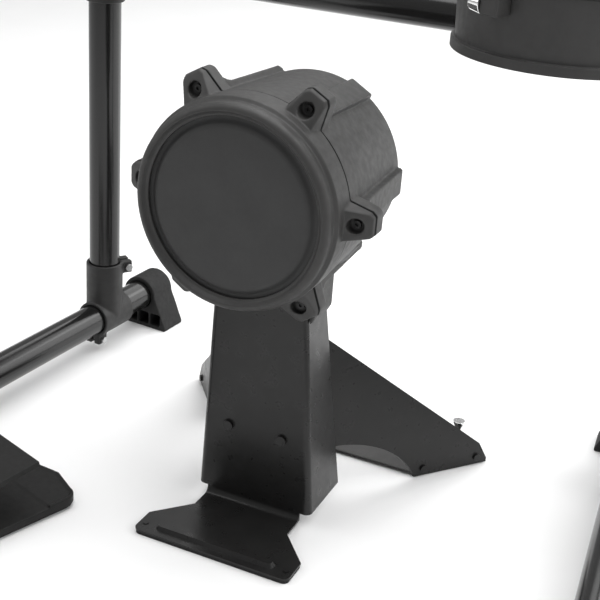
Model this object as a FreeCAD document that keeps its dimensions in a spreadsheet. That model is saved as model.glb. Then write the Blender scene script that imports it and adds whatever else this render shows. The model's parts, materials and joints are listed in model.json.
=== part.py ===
"""An electronic drum kit: a kick tower, a tube rack, one rack pad and a hi-hat control pedal.

Millimetres, +Z up, +Y away from the player. The floor is Z = 0 and the origin is the middle of the footprint.
"""
import FreeCAD, Part
import math
import operator
import os
from types import SimpleNamespace

import Sketcher

DIMENSIONS = {
    # shared
    "overrun": 5,
    "running_gap": 0.3,
    "sleeve_gap": 0.15,
    "sheet_wall": 2,
    # tower column: a tapered sheet channel, open behind, with its foot plate folded forward
    "column_front": 11,
    "column_top_front": 28,
    "column_low": 14,
    "column_engage": 52.5,
    "column_low_half": 65,
    "column_top_half": 47.4,
    "column_low_depth": 75,
    "column_top_depth": 42,
    "fold_radius": 7,
    "bend_radius": 7,
    "foot_front": 108,
    "foot_half": 86,
    "foot_side": 32,
    "foot_corner": 7,
    "foot_neck_half": 53.5,
    "foot_neck_start": 39,
    "foot_rubber_thick": 4,
    "foot_rubber_inset": 0.8,
    "foot_rib_half": 60,
    "foot_rib_radius": 6,
    "foot_rib_height": 4,
    "foot_rib_back": 13.7,
    "foot_rib_draft_angle": 35,
    "front_spur_inset": 7,
    "front_spur_radius": 3,
    "front_spur_head_radius": 2.9,
    "front_spur_head_height": 0.5,
    "spur_point": 4,
    "floor_clear": 0.5,
    # rear brace: a hat of sheet inside the column whose two wings splay out to the floor
    "brace_leg_half": 48,
    "brace_top_gap": 40.5,
    "wing_start": 40,
    "wing_end_half": 188,
    "wing_end": 212,
    "wing_tip_run": 9.8,
    "wing_tip_top": 27.7,
    "wing_tip_low": 6,
    "wing_clear": 1,
    "arch_end": 138,
    "arch_start": 60,
    "arch_top": 62,
    "arch_radius": 95,
    "brace_bolt_spread": 30,
    "brace_bolt_height": 97,
    "brace_bolt_radius": 3,
    "brace_head_radius": 5.5,
    "brace_head_height": 3,
    "brace_nut_radius": 6,
    "brace_nut_height": 5,
    # rear base plate between the wings
    "base_front": 140,
    "base_back": 222,
    "base_rubber_thick": 3,
    "base_rubber_inset": 6,
    "base_flange_height": 21,
    "base_flange_end": 207,
    "base_side_gap": 0.2,
    "wing_screw_height": 10,
    "wing_screw_first": 7,
    "wing_screw_spread": 71,
    "wing_screw_radius": 2.5,
    "wing_screw_head_radius": 4,
    "wing_screw_head_height": 2.5,
    "rear_spur_half": 153,
    "rear_spur_back": 203,
    "rear_spur_radius": 4,
    "rear_spur_knob_radius": 6.8,
    "rear_spur_knob_height": 9,
    "rear_spur_knob_band": 2.5,
    "rear_spur_top": 48.5,
    "spur_nut_radius": 8,
    "spur_nut_height": 6,
    # kick drum: everything is measured forward of the column's own axis plane, along the drum's axis
    "drum_height": 360,
    "seam_forward": 57,
    "shell_back": 81.5,
    "seam_inset": 0.5,
    "shell_taper": 6.5,
    "shell_back_round": 5,
    "shell_wall": 3.5,
    "shell_ledge_inset": 11.5,
    "shell_ledge_depth": 8,
    "neck_half": 56.5,
    "neck_shoulder_inset": 20,
    "neck_shoulder_rise": 43,
    "neck_straight_rise": 11,
    "neck_length": 29.5,
    "neck_front": 20,
    "neck_back": 22.5,
    "neck_wall_front": 34,
    "neck_wall_rise": 22.5,
    "neck_corner": 4,
    "neck_shoulder_back": 30,
    "neck_fairing_angle": 5,
    "neck_fit": 0.5,
    "neck_screw_half": 30,
    "neck_screw_rise": 32.5,
    "neck_screw_radius": 2.2,
    "neck_screw_length": 8,
    "neck_screw_head_radius": 4.5,
    "neck_screw_head_height": 3,
    "collar_radius": 98,
    "collar_length": 27,
    "collar_slope": 3,
    "rim_inset": 3.5,
    "rim_round": 7,
    "rim_crest": 99.5,
    "crest_inset": 6.5,
    "step_inset": 3,
    "step_drop": 4.5,
    "lip_drop": 5,
    "lip_thick": 3,
    "face_inset": 8.5,
    "face_drop": 4,
    "face_round": 2.5,
    "head_groove": 6.5,
    "head_flange_proud": 10.5,
    "head_flange_thick": 5.7,
    "plate_inset": 7,
    "plate_thick": 1.5,
    "foam_inset": 10,
    "foam_hole_radius": 20,
    "strike_travel": 2,
    "piezo_radius": 13.5,
    "piezo_thick": 0.8,
    "bridge_proud": 3.7,
    "bridge_thick": 2.5,
    "bridge_hole_radius": 12,
    # ears around the drum
    "ear_circle_proud": 8.4,
    "ear_root_inset": 8,
    "ear_root_half": 19.8,
    "ear_shoulder_proud": 11.5,
    "ear_shoulder_half": 12.5,
    "ear_top_proud": 15.6,
    "ear_top_half": 8.5,
    "ear_face_root": 16.5,
    "ear_face_top": 5.4,
    "ear_face_proud": 0.6,
    "ear_draft_angle": 12,
    "seam_groove": 0.6,
    "seam_groove_depth": 1.6,
    "ear_back_thick": 16,
    "ear_ramp_length": 20,
    "ear_ramp_radius": 34,
    "ear_ramp_proud": 14,
    "rib_half": 12,
    "rib_front_proud": 4.5,
    "rib_back_proud": 7,
    "rib_end_run": 6,
    "rib_end_proud": 3,
    "lug_recess_radius": 7,
    "lug_recess_floor": 4,
    "lug_screw_radius": 2.5,
    "lug_screw_gap": 0.3,
    "lug_screw_length": 16.5,
    "lug_head_radius": 3.6,
    "lug_head_height": 2.5,
    "lug_socket_radius": 1.8,
    "lug_socket_depth": 1.6,
    "lug_insert_radius": 4,
    "lug_insert_length": 13,
    # jack in the shell's back, also used in the pad
    "jack_inset": 46,
    "jack_bore_radius": 3.25,
    "jack_bush_radius": 4.6,
    "jack_stand": 6,
    "jack_body_width": 18,
    "jack_body_height": 14,
    "jack_body_length": 24,
    "jack_nut_radius": 7,
    "jack_nut_height": 2.5,
    # rack of round tube
    "tube_diameter": 38.1,
    "tube_wall": 1.6,
    "rack_half_width": 342,
    "rack_back": 231,
    "rack_rear_reach": 118,
    "rack_splay_angle": 4.3,
    "floor_tube_height": 45,
    "bar_height": 495,
    "upright_over_bar": 41,
    "tee_wall": 4,
    "tube_seat": 2,
    "floor_tee_front": 25,
    "floor_tee_rear": 32,
    "floor_tee_top": 119,
    "bar_tee_drop": 46,
    "bar_tee_rise": 35,
    "bar_tee_reach": 66,
    "ear_reach": 10.5,
    "ear_width": 22,
    "ear_height": 16,
    "ear_turn_angle": 59,
    "clamp_slit": 4,
    "tee_bolt_radius": 2.5,
    "tee_bolt_head_radius": 4.5,
    "tee_bolt_head_height": 3.5,
    "tee_nut_radius": 4.8,
    "tee_nut_height": 4,
    "rack_foot_length": 42,
    "rack_foot_half_width": 43,
    "rack_foot_wall": 6,
    "rack_foot_side": 4,
    "rack_foot_cell_low": 5,
    "rack_foot_cell_top": 22,
    "rack_foot_cell_depth": 30,
    "rack_foot_cell_wall": 3,
    # rack pad and the bent rod that carries it
    "pad_from_side": 114,
    "pad_over_bar": 10,
    "pad_shell_height": 62,
    "pad_top_radius": 92,
    "pad_taper": 3.5,
    "pad_foot_proud": 0.5,
    "pad_foot_height": 9,
    "pad_wall": 3,
    "pad_rim_proud": 2,
    "pad_rim_height": 12,
    "pad_rim_round": 5,
    "pad_lip_inset": 10,
    "pad_lip_thick": 3,
    "pad_flange_inset": 7,
    "pad_face_drop": 1,
    "pad_head_thick": 8,
    "pad_plate_inset": 9,
    "pad_foam_inset": 19,
    "pad_clamp_half_width": 22,
    "pad_clamp_half_height": 30,
    "pad_clamp_front_depth": 50,
    "pad_clamp_back_depth": 28,
    "pad_clamp_split": 1,
    "pad_clamp_bolt_half": 14,
    "pad_clamp_bolt_rise": 24.5,
    "rod_radius": 5,
    "rod_forward": 38,
    "rod_bend": 14,
    "rod_over_bar": 57,
    "rod_under_bar": 37,
    "rod_gap": 0.15,
    "bracket_half_width": 15,
    "bracket_half_height": 13,
    "bracket_length": 26,
    "bracket_clear": 1,
    "bracket_screw_back": 13,
    "rod_end_wall": 5,
    "wing_shank_radius": 3,
    "wing_shank_stand": 5,
    "wing_boss_radius": 6,
    "wing_boss_height": 8,
    "wing_half_span": 13,
    "wing_thick": 4,
    "wing_height": 12,
    "pad_jack_angle": 250,
    "pad_jack_rise": 50,
    "pad_jack_half_width": 8.5,
    "pad_jack_half_height": 8.5,
    "pad_jack_reach": 18,
    "pad_jack_inset": 7.5,
    "pad_jack_collar_radius": 10,
    "pad_jack_collar_end_radius": 7.5,
    "pad_jack_collar_length": 12,
    # hi-hat control pedal
    "pedal_from_side": 142,
    "pedal_toe": 72.5,
    "pedal_turn_angle": 19,
    "pedal_length": 250,
    "pedal_half_width": 46,
    "pedal_corner": 14,
    "pedal_toe_slant": 8,
    "pedal_sole_thick": 3,
    "pedal_sole_inset": 4,
    "pedal_base_thick": 9,
    "pedal_toe_length": 44,
    "pedal_toe_height": 15,
    "pedal_board_half": 40,
    "pedal_board_thick": 6,
    "pedal_board_gap": 4,
    "pedal_hinge_run": 26,
    "pedal_hinge_height": 31,
    "pedal_board_tilt": 8,
    "pedal_pin_radius": 3,
    "pedal_knuckle_radius": 8,
    "pedal_spring_radius": 6,
    "pedal_spring_half": 22,
    "pedal_knuckle_length": 11,
}

EAR_ANGLES = (0, 60, 120, 180, 236, 304)
FOOT_CELLS = 4
SIDES = (-1, 1)

doc = FreeCAD.newDocument("electronic_drum_kit")
sheet = doc.addObject("Spreadsheet::Sheet", "Dims")
for row, (alias, number) in enumerate(DIMENSIONS.items(), start=1):
    sheet.set(f"A{row}", alias)
    sheet.set(f"B{row}", str(number))
    sheet.setAlias(f"B{row}", alias)
doc.recompute()

OPERATIONS = {"+": operator.add, "-": operator.sub, "*": operator.mul, "/": operator.truediv}


class Size:
    """A number together with the sheet formula that gives it."""

    def __init__(self, value, formula):
        self.value = value
        self.formula = formula

    def __add__(self, other):
        return combine(self, "+", other)

    def __radd__(self, other):
        return combine(other, "+", self)

    def __sub__(self, other):
        return combine(self, "-", other)

    def __rsub__(self, other):
        return combine(other, "-", self)

    def __mul__(self, other):
        return combine(self, "*", other)

    def __rmul__(self, other):
        return combine(other, "*", self)

    def __truediv__(self, other):
        return combine(self, "/", other)

    def __neg__(self):
        return combine(0, "-", self)


def as_size(number):
    return number if isinstance(number, Size) else Size(float(number), repr(number))


def combine(left, sign, right):
    left, right = as_size(left), as_size(right)
    value = OPERATIONS[sign](left.value, right.value)
    return Size(value, f"({left.formula} {sign} {right.formula})")


def root(size):
    return Size(math.sqrt(size.value), f"sqrt({size.formula})")


def sine(angle):
    return Size(math.sin(math.radians(angle.value)), f"sin({angle.formula})")


def cosine(angle):
    return Size(math.cos(math.radians(angle.value)), f"cos({angle.formula})")


d = SimpleNamespace(**{alias: Size(float(sheet.get(alias)), f"Dims.{alias}") for alias in DIMENSIONS})

# Sizes that several pieces share
tube_radius = d.tube_diameter / 2
sleeve_bore = tube_radius + d.sleeve_gap
sleeve_radius = sleeve_bore + d.tee_wall
foot_top = d.foot_rubber_thick + d.sheet_wall
base_top = d.base_rubber_thick + d.sheet_wall
lip_front = d.rim_crest - d.lip_drop
lip_back = lip_front - d.lip_thick
head_front = d.rim_crest - d.face_drop
head_flange_front = lip_back - d.running_gap
head_back = head_flange_front - d.head_flange_thick
plate_back = head_back - d.plate_thick
foam_back = d.seam_forward + d.strike_travel + d.running_gap
bridge_back = d.seam_forward - d.bridge_thick
shell_seam_radius = d.collar_radius - d.seam_inset
shell_back_radius = shell_seam_radius - d.shell_taper
shell_ledge_radius = shell_seam_radius - d.shell_ledge_inset
rim_radius = d.collar_radius - d.rim_inset
crest_inner_radius = rim_radius - d.crest_inset
step_radius = crest_inner_radius - d.step_inset
face_radius = step_radius - d.face_inset
head_flange_radius = face_radius + d.head_flange_proud
plate_radius = head_flange_radius - d.plate_inset
foam_radius = plate_radius - d.foam_inset
bridge_radius = shell_ledge_radius + d.bridge_proud
ear_circle = d.collar_radius + d.ear_circle_proud
ear_root_radius = d.collar_radius - d.ear_root_inset
ear_shoulder = ear_circle + d.ear_shoulder_proud
ear_top = ear_circle + d.ear_top_proud
ear_ramp_top = d.collar_radius + d.ear_ramp_proud
rib_front_radius = shell_seam_radius + d.rib_front_proud
rib_back_radius = shell_back_radius + d.rib_back_proud
rib_end_radius = shell_back_radius + d.rib_end_proud
neck_shoulder_half = d.collar_radius - d.neck_shoulder_inset
neck_shoulder_drop = d.collar_radius - d.neck_shoulder_rise
neck_straight_drop = d.collar_radius - d.neck_straight_rise
neck_drop = d.collar_radius + d.neck_length
jack_drop = d.collar_radius - d.jack_inset
neck_low = d.drum_height - neck_drop
column_top = neck_low + d.column_engage
column_lean = (d.column_top_front - d.column_front) / (column_top - d.column_low)
brace_top = neck_low - d.brace_top_gap
upright_top = d.bar_height + d.upright_over_bar
rod_height = d.bar_height + d.rod_over_bar
rod_low = d.bar_height - d.rod_under_bar
rod_back = d.rack_back - d.rod_forward
pad_across = d.rack_half_width - d.pad_from_side
pad_back = rod_back - d.rod_bend - d.bracket_clear - d.bracket_length - d.pad_top_radius
pad_low = d.bar_height + d.pad_over_bar
pedal_across = d.rack_half_width - d.pedal_from_side
pad_low_radius = d.pad_top_radius - d.pad_taper
pad_foot_radius = d.pad_top_radius + d.pad_foot_proud
pad_rim_radius = d.pad_top_radius + d.pad_rim_proud
pad_lip_radius = d.pad_top_radius - d.pad_lip_inset
pad_flange_radius = d.pad_top_radius - d.pad_flange_inset
pad_plate_radius = d.pad_top_radius - d.pad_plate_inset
pad_foam_radius = d.pad_top_radius - d.pad_foam_inset

UPWARD = FreeCAD.Rotation()
ALONG_X = FreeCAD.Rotation(FreeCAD.Vector(0, 1, 0), 90)
ALONG_Y = FreeCAD.Rotation(FreeCAD.Vector(1, 0, 0), -90)
FORWARD = FreeCAD.Rotation(FreeCAD.Vector(1, 0, 0), 90)
CYCLED = FreeCAD.Rotation(FreeCAD.Vector(1, 1, 1), 120)
PARTS = []


def keep(label, piece):
    """Names a finished sub-part, which is then checked and written."""
    piece.Label = label
    PARTS.append(piece)
    return piece


def place(piece, at, turn=UPWARD):
    piece.Placement = FreeCAD.Placement(FreeCAD.Vector(), turn)
    for axis, size in zip("xyz", at):
        if isinstance(size, Size):
            piece.setExpression(f"Placement.Base.{axis}", size.formula)
    return piece


def place_turned(piece, at, angle):
    """Places a piece turned about Z by a named angle."""
    place(piece, at, FreeCAD.Rotation(FreeCAD.Vector(0, 0, 1), angle.value))
    piece.setExpression("Placement.Rotation.Angle", angle.formula)
    return piece


def primitive(kind, sizes, at, turn):
    piece = doc.addObject(f"Part::{kind}", kind.lower())
    for name, size in sizes.items():
        piece.setExpression(name, as_size(size).formula)
    return place(piece, at, turn)


def block(length, width, height, at=(0, 0, 0)):
    return primitive("Box", {"Length": length, "Width": width, "Height": height}, at, UPWARD)


def rod(radius, length, at=(0, 0, 0), turn=UPWARD):
    return primitive("Cylinder", {"Radius": radius, "Height": length}, at, turn)


def cone(low_radius, top_radius, height, at=(0, 0, 0), turn=UPWARD):
    return primitive("Cone", {"Radius1": low_radius, "Radius2": top_radius, "Height": height}, at, turn)


def hexagon(radius, height, at=(0, 0, 0), turn=UPWARD):
    return primitive("Prism", {"Circumradius": radius, "Height": height}, at, turn)


def fused(*pieces):
    whole = doc.addObject("Part::MultiFuse", "fused")
    whole.Shapes = list(pieces)
    return whole


def group(*pieces):
    """Separate solids that share one node."""
    whole = doc.addObject("Part::Compound", "group")
    whole.Links = list(pieces)
    return whole


def cut(base, *tools):
    rest = doc.addObject("Part::Cut", "cut")
    rest.Base = base
    rest.Tool = tools[0] if len(tools) == 1 else fused(*tools)
    return rest


def mirrored(piece):
    """The same piece on the other side of the plane X = 0."""
    twin = doc.addObject("Part::Mirroring", "mirrored")
    twin.Source = piece
    twin.Normal = FreeCAD.Vector(1, 0, 0)
    return twin


def raw_body(name):
    """A body that is worked on further before it is a finished sub-part."""
    body = doc.addObject("PartDesign::Body", name)
    body.AllowCompound = True
    return body


def new_body(label):
    return keep(label, raw_body(label))


def new_sketch(body, role, lift):
    """A sketch on one of the body's own planes, lifted along the plane's normal."""
    sketch = body.newObject("Sketcher::SketchObject", f"{body.Name}_sketch")
    plane = next(feature for feature in body.Origin.OriginFeatures if feature.Role == role)
    sketch.AttachmentSupport = [(plane, "")]
    sketch.MapMode = "FlatFace"
    if isinstance(lift, Size):
        sketch.setExpression("AttachmentOffset.Base.z", lift.formula)
    return sketch


def pin_point(sketch, geometry, end, x, y):
    """Holds one point of a sketch at named distances from the sketch's origin."""
    for size, kind, axis in ((x, "DistanceX", -2), (y, "DistanceY", -1)):
        if isinstance(size, Size):
            index = sketch.addConstraint(Sketcher.Constraint(kind, -1, 1, geometry, end, size.value))
            sketch.setExpression(f"Constraints[{index}]", size.formula)
        else:
            sketch.addConstraint(Sketcher.Constraint("PointOnObject", geometry, end, axis))


def hold_radius(sketch, geometry, size):
    index = sketch.addConstraint(Sketcher.Constraint("Radius", geometry, size.value))
    sketch.setExpression(f"Constraints[{index}]", size.formula)


def arc_middle(start, end, radius):
    """The middle point of the short arc from start to end that turns left."""
    chord = end - start
    half = chord.Length / 2
    bulge = radius - math.sqrt(max(radius * radius - half * half, 0))
    right = FreeCAD.Vector(chord.y, -chord.x, 0).normalize()
    return (start + end) / 2 + right * bulge


def outline(body, role, lift, corners):
    """A closed outline. A corner's third value is the radius of the arc that arrives at it, negative where
    the arc turns right."""
    sketch = new_sketch(body, role, lift)
    points = [FreeCAD.Vector(as_size(c[0]).value, as_size(c[1]).value, 0) for c in corners]
    ends = []
    for index, corner in enumerate(corners):
        follow = (index + 1) % len(corners)
        start, end = points[index], points[follow]
        radius = corners[follow][2] if len(corners[follow]) == 3 else None
        if radius is None:
            sketch.addGeometry(Part.LineSegment(start, end))
            ends.append((1, 2))
        elif radius.value > 0:
            sketch.addGeometry(Part.Arc(start, arc_middle(start, end, radius.value), end))
            ends.append((1, 2))
        else:
            sketch.addGeometry(Part.Arc(end, arc_middle(end, start, -radius.value), start))
            ends.append((2, 1))
    for index, corner in enumerate(corners):
        follow = (index + 1) % len(corners)
        sketch.addConstraint(Sketcher.Constraint("Coincident", index, ends[index][1], follow, ends[follow][0]))
        pin_point(sketch, index, ends[index][0], corner[0], corner[1])
        if len(corners[follow]) == 3:
            radius = corners[follow][2]
            hold_radius(sketch, index, radius if radius.value > 0 else -radius)
    return sketch


def circles(body, role, lift, radius, centres):
    sketch = new_sketch(body, role, lift)
    for index, (x, y) in enumerate(centres):
        centre = FreeCAD.Vector(as_size(x).value, as_size(y).value, 0)
        sketch.addGeometry(Part.Circle(centre, FreeCAD.Vector(0, 0, 1), radius.value))
        pin_point(sketch, index, 3, x, y)
        hold_radius(sketch, index, radius)
    return sketch


def feature(body, kind, sketch, length, back, both):
    made = body.newObject(f"PartDesign::{kind}", f"{body.Name}_{kind}")
    made.Profile = sketch
    made.setExpression("Length", as_size(length).formula)
    made.Reversed = back
    if both:
        made.SideType = "Symmetric"
    return made


def pad(body, sketch, length, back=False, both=False):
    return feature(body, "Pad", sketch, length, back, both)


def pocket(body, sketch, length, back=False, both=False):
    return feature(body, "Pocket", sketch, length, back, both)


def turned(body, sketch, kind="Revolution"):
    """Turns a sketch of radius and height about the body's own Z axis."""
    made = body.newObject(f"PartDesign::{kind}", f"{body.Name}_{kind}")
    made.Profile = sketch
    made.ReferenceAxis = (sketch, ["V_Axis"])
    made.Angle = 360
    return made


def around(body, original, sketch):
    """Repeats a feature at every ear of the drum."""
    doc.recompute()
    pattern = body.newObject("PartDesign::PolarPattern", f"{body.Name}_pattern")
    pattern.Originals = [original]
    pattern.Axis = (sketch, ["N_Axis"])
    steps = [later - angle for angle, later in zip(EAR_ANGLES, EAR_ANGLES[1:])]
    pattern.Mode = "Spacing"
    pattern.Occurrences = len(EAR_ANGLES)
    pattern.Offset = steps[0]
    pattern.Spacings = steps
    body.Tip = pattern
    return pattern


def round_edges(body, radius, wanted):
    """Rounds the edges of the body's last feature whose ends pass the test."""
    doc.recompute()
    base = body.Tip
    names = []
    for number, edge in enumerate(base.Shape.Edges, start=1):
        if all(wanted(vertex.Point) for vertex in edge.Vertexes):
            names.append(f"Edge{number}")
    made = body.newObject("PartDesign::Fillet", f"{body.Name}_fillet")
    made.Base = (base, names)
    made.setExpression("Radius", radius.formula)
    return made


def near(value, size):
    return abs(value - size.value) < d.running_gap.value / 10


def ring(label, outer, inner, back, front):
    """A flat ring on the drum's axis, from one distance forward to another."""
    base = rod(outer, front - back, (0, -back, d.drum_height), FORWARD)
    hole = rod(inner, front - back, (0, -back, d.drum_height), FORWARD)
    return keep(label, cut(base, hole))


def column_half(height):
    """Half the column's width at a height."""
    rise = (height - d.column_low) / (column_top - d.column_low)
    return d.column_low_half + (d.column_top_half - d.column_low_half) * rise


def column_front_at(height):
    """How far forward the column's leaning front stands at a height."""
    return d.column_front + (height - d.column_low) * column_lean


def front_sheet_holes(body, radius, spots):
    """Holes through the column's front, and through any sheet that lies against its back."""
    holes = circles(body, "XZ_Plane", d.column_top_front, radius, spots)
    pocket(body, holes, d.column_top_front - d.column_front + d.sheet_wall + d.overrun)


def column_section(body, level, half, depth):
    """The column's U at one level, with its two folds rounded."""
    front, wall, bend = -column_front_at(level), d.sheet_wall, d.fold_radius
    inner_bend = bend - wall
    return outline(body, "XY_Plane", level, [
        (-half, front + depth),
        (-half, front + bend),
        (bend - half, front, bend),
        (half - bend, front),
        (half, front + bend, bend),
        (half, front + depth),
        (half - wall, front + depth),
        (half - wall, front + bend),
        (half - bend, front + wall, -inner_bend),
        (bend - half, front + wall),
        (wall - half, front + bend, -inner_bend),
        (wall - half, front + depth),
    ])


def tower_column():
    body = new_body("tower_column")
    low, front, wall = d.column_low, -d.column_front, d.sheet_wall
    low_section = column_section(body, low, d.column_low_half, d.column_low_depth)
    top_section = column_section(body, column_top, d.column_top_half, d.column_top_depth)
    channel = body.newObject("PartDesign::AdditiveLoft", "tower_column_channel")
    channel.Profile = low_section
    channel.Sections = [top_section]
    channel.Ruled = True
    tongue = outline(body, "XZ_Plane", d.column_front, [
        (-d.foot_neck_half, d.foot_rubber_thick),
        (d.foot_neck_half, d.foot_rubber_thick),
        (d.foot_neck_half, low + wall),
        (-d.foot_neck_half, low + wall),
    ])
    pad(body, tongue, wall, back=True)
    corner = d.foot_corner
    foot = outline(body, "XY_Plane", d.foot_rubber_thick, [
        (corner - d.foot_half, -d.foot_front, corner),
        (d.foot_half - corner, -d.foot_front),
        (d.foot_half, corner - d.foot_front, corner),
        (d.foot_half, d.foot_side - d.foot_front),
        (d.foot_neck_half, -d.foot_neck_start),
        (d.foot_neck_half, front + wall),
        (-d.foot_neck_half, front + wall),
        (-d.foot_neck_half, -d.foot_neck_start),
        (-d.foot_half, d.foot_side - d.foot_front),
        (-d.foot_half, corner - d.foot_front),
    ])
    pad(body, foot, wall)
    round_edges(body, d.bend_radius, lambda end: near(end.y, front) and near(end.z, foot_top))
    rib_middle = d.foot_rib_back - d.foot_front
    bend = d.foot_rib_radius
    rib = outline(body, "XY_Plane", foot_top, [
        (-d.foot_rib_half, rib_middle - bend, bend),
        (d.foot_rib_half, rib_middle - bend),
        (d.foot_rib_half + bend, rib_middle, bend),
        (d.foot_rib_half, rib_middle + bend, bend),
        (-d.foot_rib_half, rib_middle + bend),
        (-d.foot_rib_half - bend, rib_middle, bend),
    ])
    rib = pad(body, rib, d.foot_rib_height)
    rib.setExpression("TaperAngle", (-d.foot_rib_draft_angle).formula)
    spurs = [(side * (d.foot_half - d.front_spur_inset), d.foot_rib_back - d.foot_front) for side in SIDES]
    holes = circles(body, "XY_Plane", foot_top, d.front_spur_radius + d.running_gap, spurs)
    pocket(body, holes, d.sheet_wall + d.overrun)
    bolts = [(side * d.brace_bolt_spread, d.brace_bolt_height) for side in SIDES]
    front_sheet_holes(body, d.brace_bolt_radius + d.sleeve_gap, bolts)
    screws = [(side * d.neck_screw_half, neck_screw_height) for side in SIDES]
    front_sheet_holes(body, d.neck_screw_radius + d.sleeve_gap, screws)


# The neck screws' height, and how far back the foot of their heads bears on the leaning sheet
neck_screw_height = neck_low + d.neck_screw_rise
neck_screw_back = d.sheet_wall - column_front_at(neck_screw_height - d.neck_screw_head_radius)


def front_foot_rubber():
    body = new_body("front_foot_rubber")
    inset, corner = d.foot_rubber_inset, d.foot_corner
    round_inside = corner - inset
    sole = outline(body, "XY_Plane", 0, [
        (corner - d.foot_half, inset - d.foot_front, round_inside),
        (d.foot_half - corner, inset - d.foot_front),
        (d.foot_half - inset, corner - d.foot_front, round_inside),
        (d.foot_half - inset, d.foot_side - d.foot_front),
        (d.foot_neck_half - inset, -d.foot_neck_start),
        (inset - d.foot_neck_half, -d.foot_neck_start),
        (inset - d.foot_half, d.foot_side - d.foot_front),
        (inset - d.foot_half, corner - d.foot_front),
    ])
    pad(body, sole, d.foot_rubber_thick)
    spurs = [(side * (d.foot_half - d.front_spur_inset), d.foot_rib_back - d.foot_front) for side in SIDES]
    holes = circles(body, "XY_Plane", d.foot_rubber_thick, d.front_spur_radius + d.running_gap, spurs)
    pocket(body, holes, d.foot_rubber_thick + d.overrun)


def front_spurs():
    for side, name in zip(SIDES, ("front_spur_left", "front_spur_right")):
        head_low = foot_top + d.running_gap
        point = cone(0, d.front_spur_radius, d.spur_point)
        shank = rod(d.front_spur_radius, head_low - d.spur_point - d.floor_clear, (0, 0, d.spur_point))
        head = hexagon(d.front_spur_head_radius, d.front_spur_head_height, (0, 0, head_low - d.floor_clear))
        spur = keep(name, fused(point, shank, head))
        across = side * (d.foot_half - d.front_spur_inset)
        place(spur, (across, d.foot_rib_back - d.foot_front, d.floor_clear))


# The wing's direction on the floor, and the line of its inner face
wing_run = d.wing_end - d.wing_start
wing_spread = d.wing_end_half - d.brace_leg_half
wing_length = root(wing_run * wing_run + wing_spread * wing_spread)
wing_lean = wing_spread / wing_run
wing_inner_start = d.wing_start + d.sheet_wall * (wing_length - wing_run) / wing_spread


def wing_inner_half(back):
    """Half the room between the wings at a distance back."""
    return d.brace_leg_half - d.sheet_wall + (back - wing_inner_start) * wing_lean


def trim_wings(body):
    """Cuts off all that stands above the wings' sloping edge and their slanted ends."""
    past = d.wing_end + d.overrun
    above = outline(body, "YZ_Plane", 0, [
        (d.wing_start, brace_top),
        (d.wing_end - d.wing_tip_run, d.wing_tip_top),
        (d.wing_end, d.wing_tip_low),
        (past, d.wing_tip_low),
        (past, brace_top),
    ])
    pocket(body, above, (d.wing_end_half + d.overrun) * 2, both=True)


def brace_section(body, level):
    """The brace's hat at one level, with its web against the column's leaning front."""
    wall = d.sheet_wall
    web = wall - column_front_at(level)
    end_x = d.wing_end_half - wall * wing_run / wing_length
    end_y = d.wing_end + wall * wing_spread / wing_length
    return outline(body, "XY_Plane", level, [
        (-d.brace_leg_half, web),
        (d.brace_leg_half, web),
        (d.brace_leg_half, d.wing_start),
        (d.wing_end_half, d.wing_end),
        (end_x, end_y),
        (d.brace_leg_half - wall, wing_inner_start),
        (d.brace_leg_half - wall, web + wall),
        (wall - d.brace_leg_half, web + wall),
        (wall - d.brace_leg_half, wing_inner_start),
        (-end_x, end_y),
        (-d.wing_end_half, d.wing_end),
        (-d.brace_leg_half, d.wing_start),
    ])


def rear_brace():
    body = raw_body("brace_sheet")
    hat = body.newObject("PartDesign::AdditiveLoft", "brace_sheet_hat")
    hat.Profile = brace_section(body, d.wing_clear)
    hat.Sections = [brace_section(body, brace_top)]
    hat.Ruled = True
    trim_wings(body)
    below = outline(body, "YZ_Plane", 0, [
        (-d.column_top_front, 0),
        (d.arch_end, 0),
        (d.arch_start, d.arch_top, d.arch_radius),
        (-d.column_top_front, d.arch_top),
    ])
    pocket(body, below, (d.wing_end_half + d.overrun) * 2, both=True)
    bolts = [(side * d.brace_bolt_spread, d.brace_bolt_height) for side in SIDES]
    front_sheet_holes(body, d.brace_bolt_radius + d.sleeve_gap, bolts)
    keep("rear_brace", cut(body, *wing_screw_holes()))


def brace_fasteners():
    bolts, nuts = [], []
    # The level bolts pass through leaning sheets: a head bears at its top, a nut at its foot
    head_back = -column_front_at(d.brace_bolt_height + d.brace_head_radius)
    behind = d.sheet_wall * 2 - column_front_at(d.brace_bolt_height - d.brace_nut_radius)
    grip = behind - head_back + d.brace_nut_height
    for side in SIDES:
        across = side * d.brace_bolt_spread
        head_place = (across, head_back, d.brace_bolt_height)
        head = rod(d.brace_head_radius, d.brace_head_height, head_place, FORWARD)
        shank = rod(d.brace_bolt_radius, grip, head_place, ALONG_Y)
        bolts.append(fused(head, shank))
        nut_place = (across, behind, d.brace_bolt_height)
        nut = hexagon(d.brace_nut_radius, d.brace_nut_height, nut_place, ALONG_Y)
        nuts.append(cut(nut, rod(d.brace_bolt_radius, d.brace_nut_height, nut_place, ALONG_Y)))
    keep("brace_bolts", group(*bolts))
    keep("brace_nuts", group(*nuts))


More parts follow.
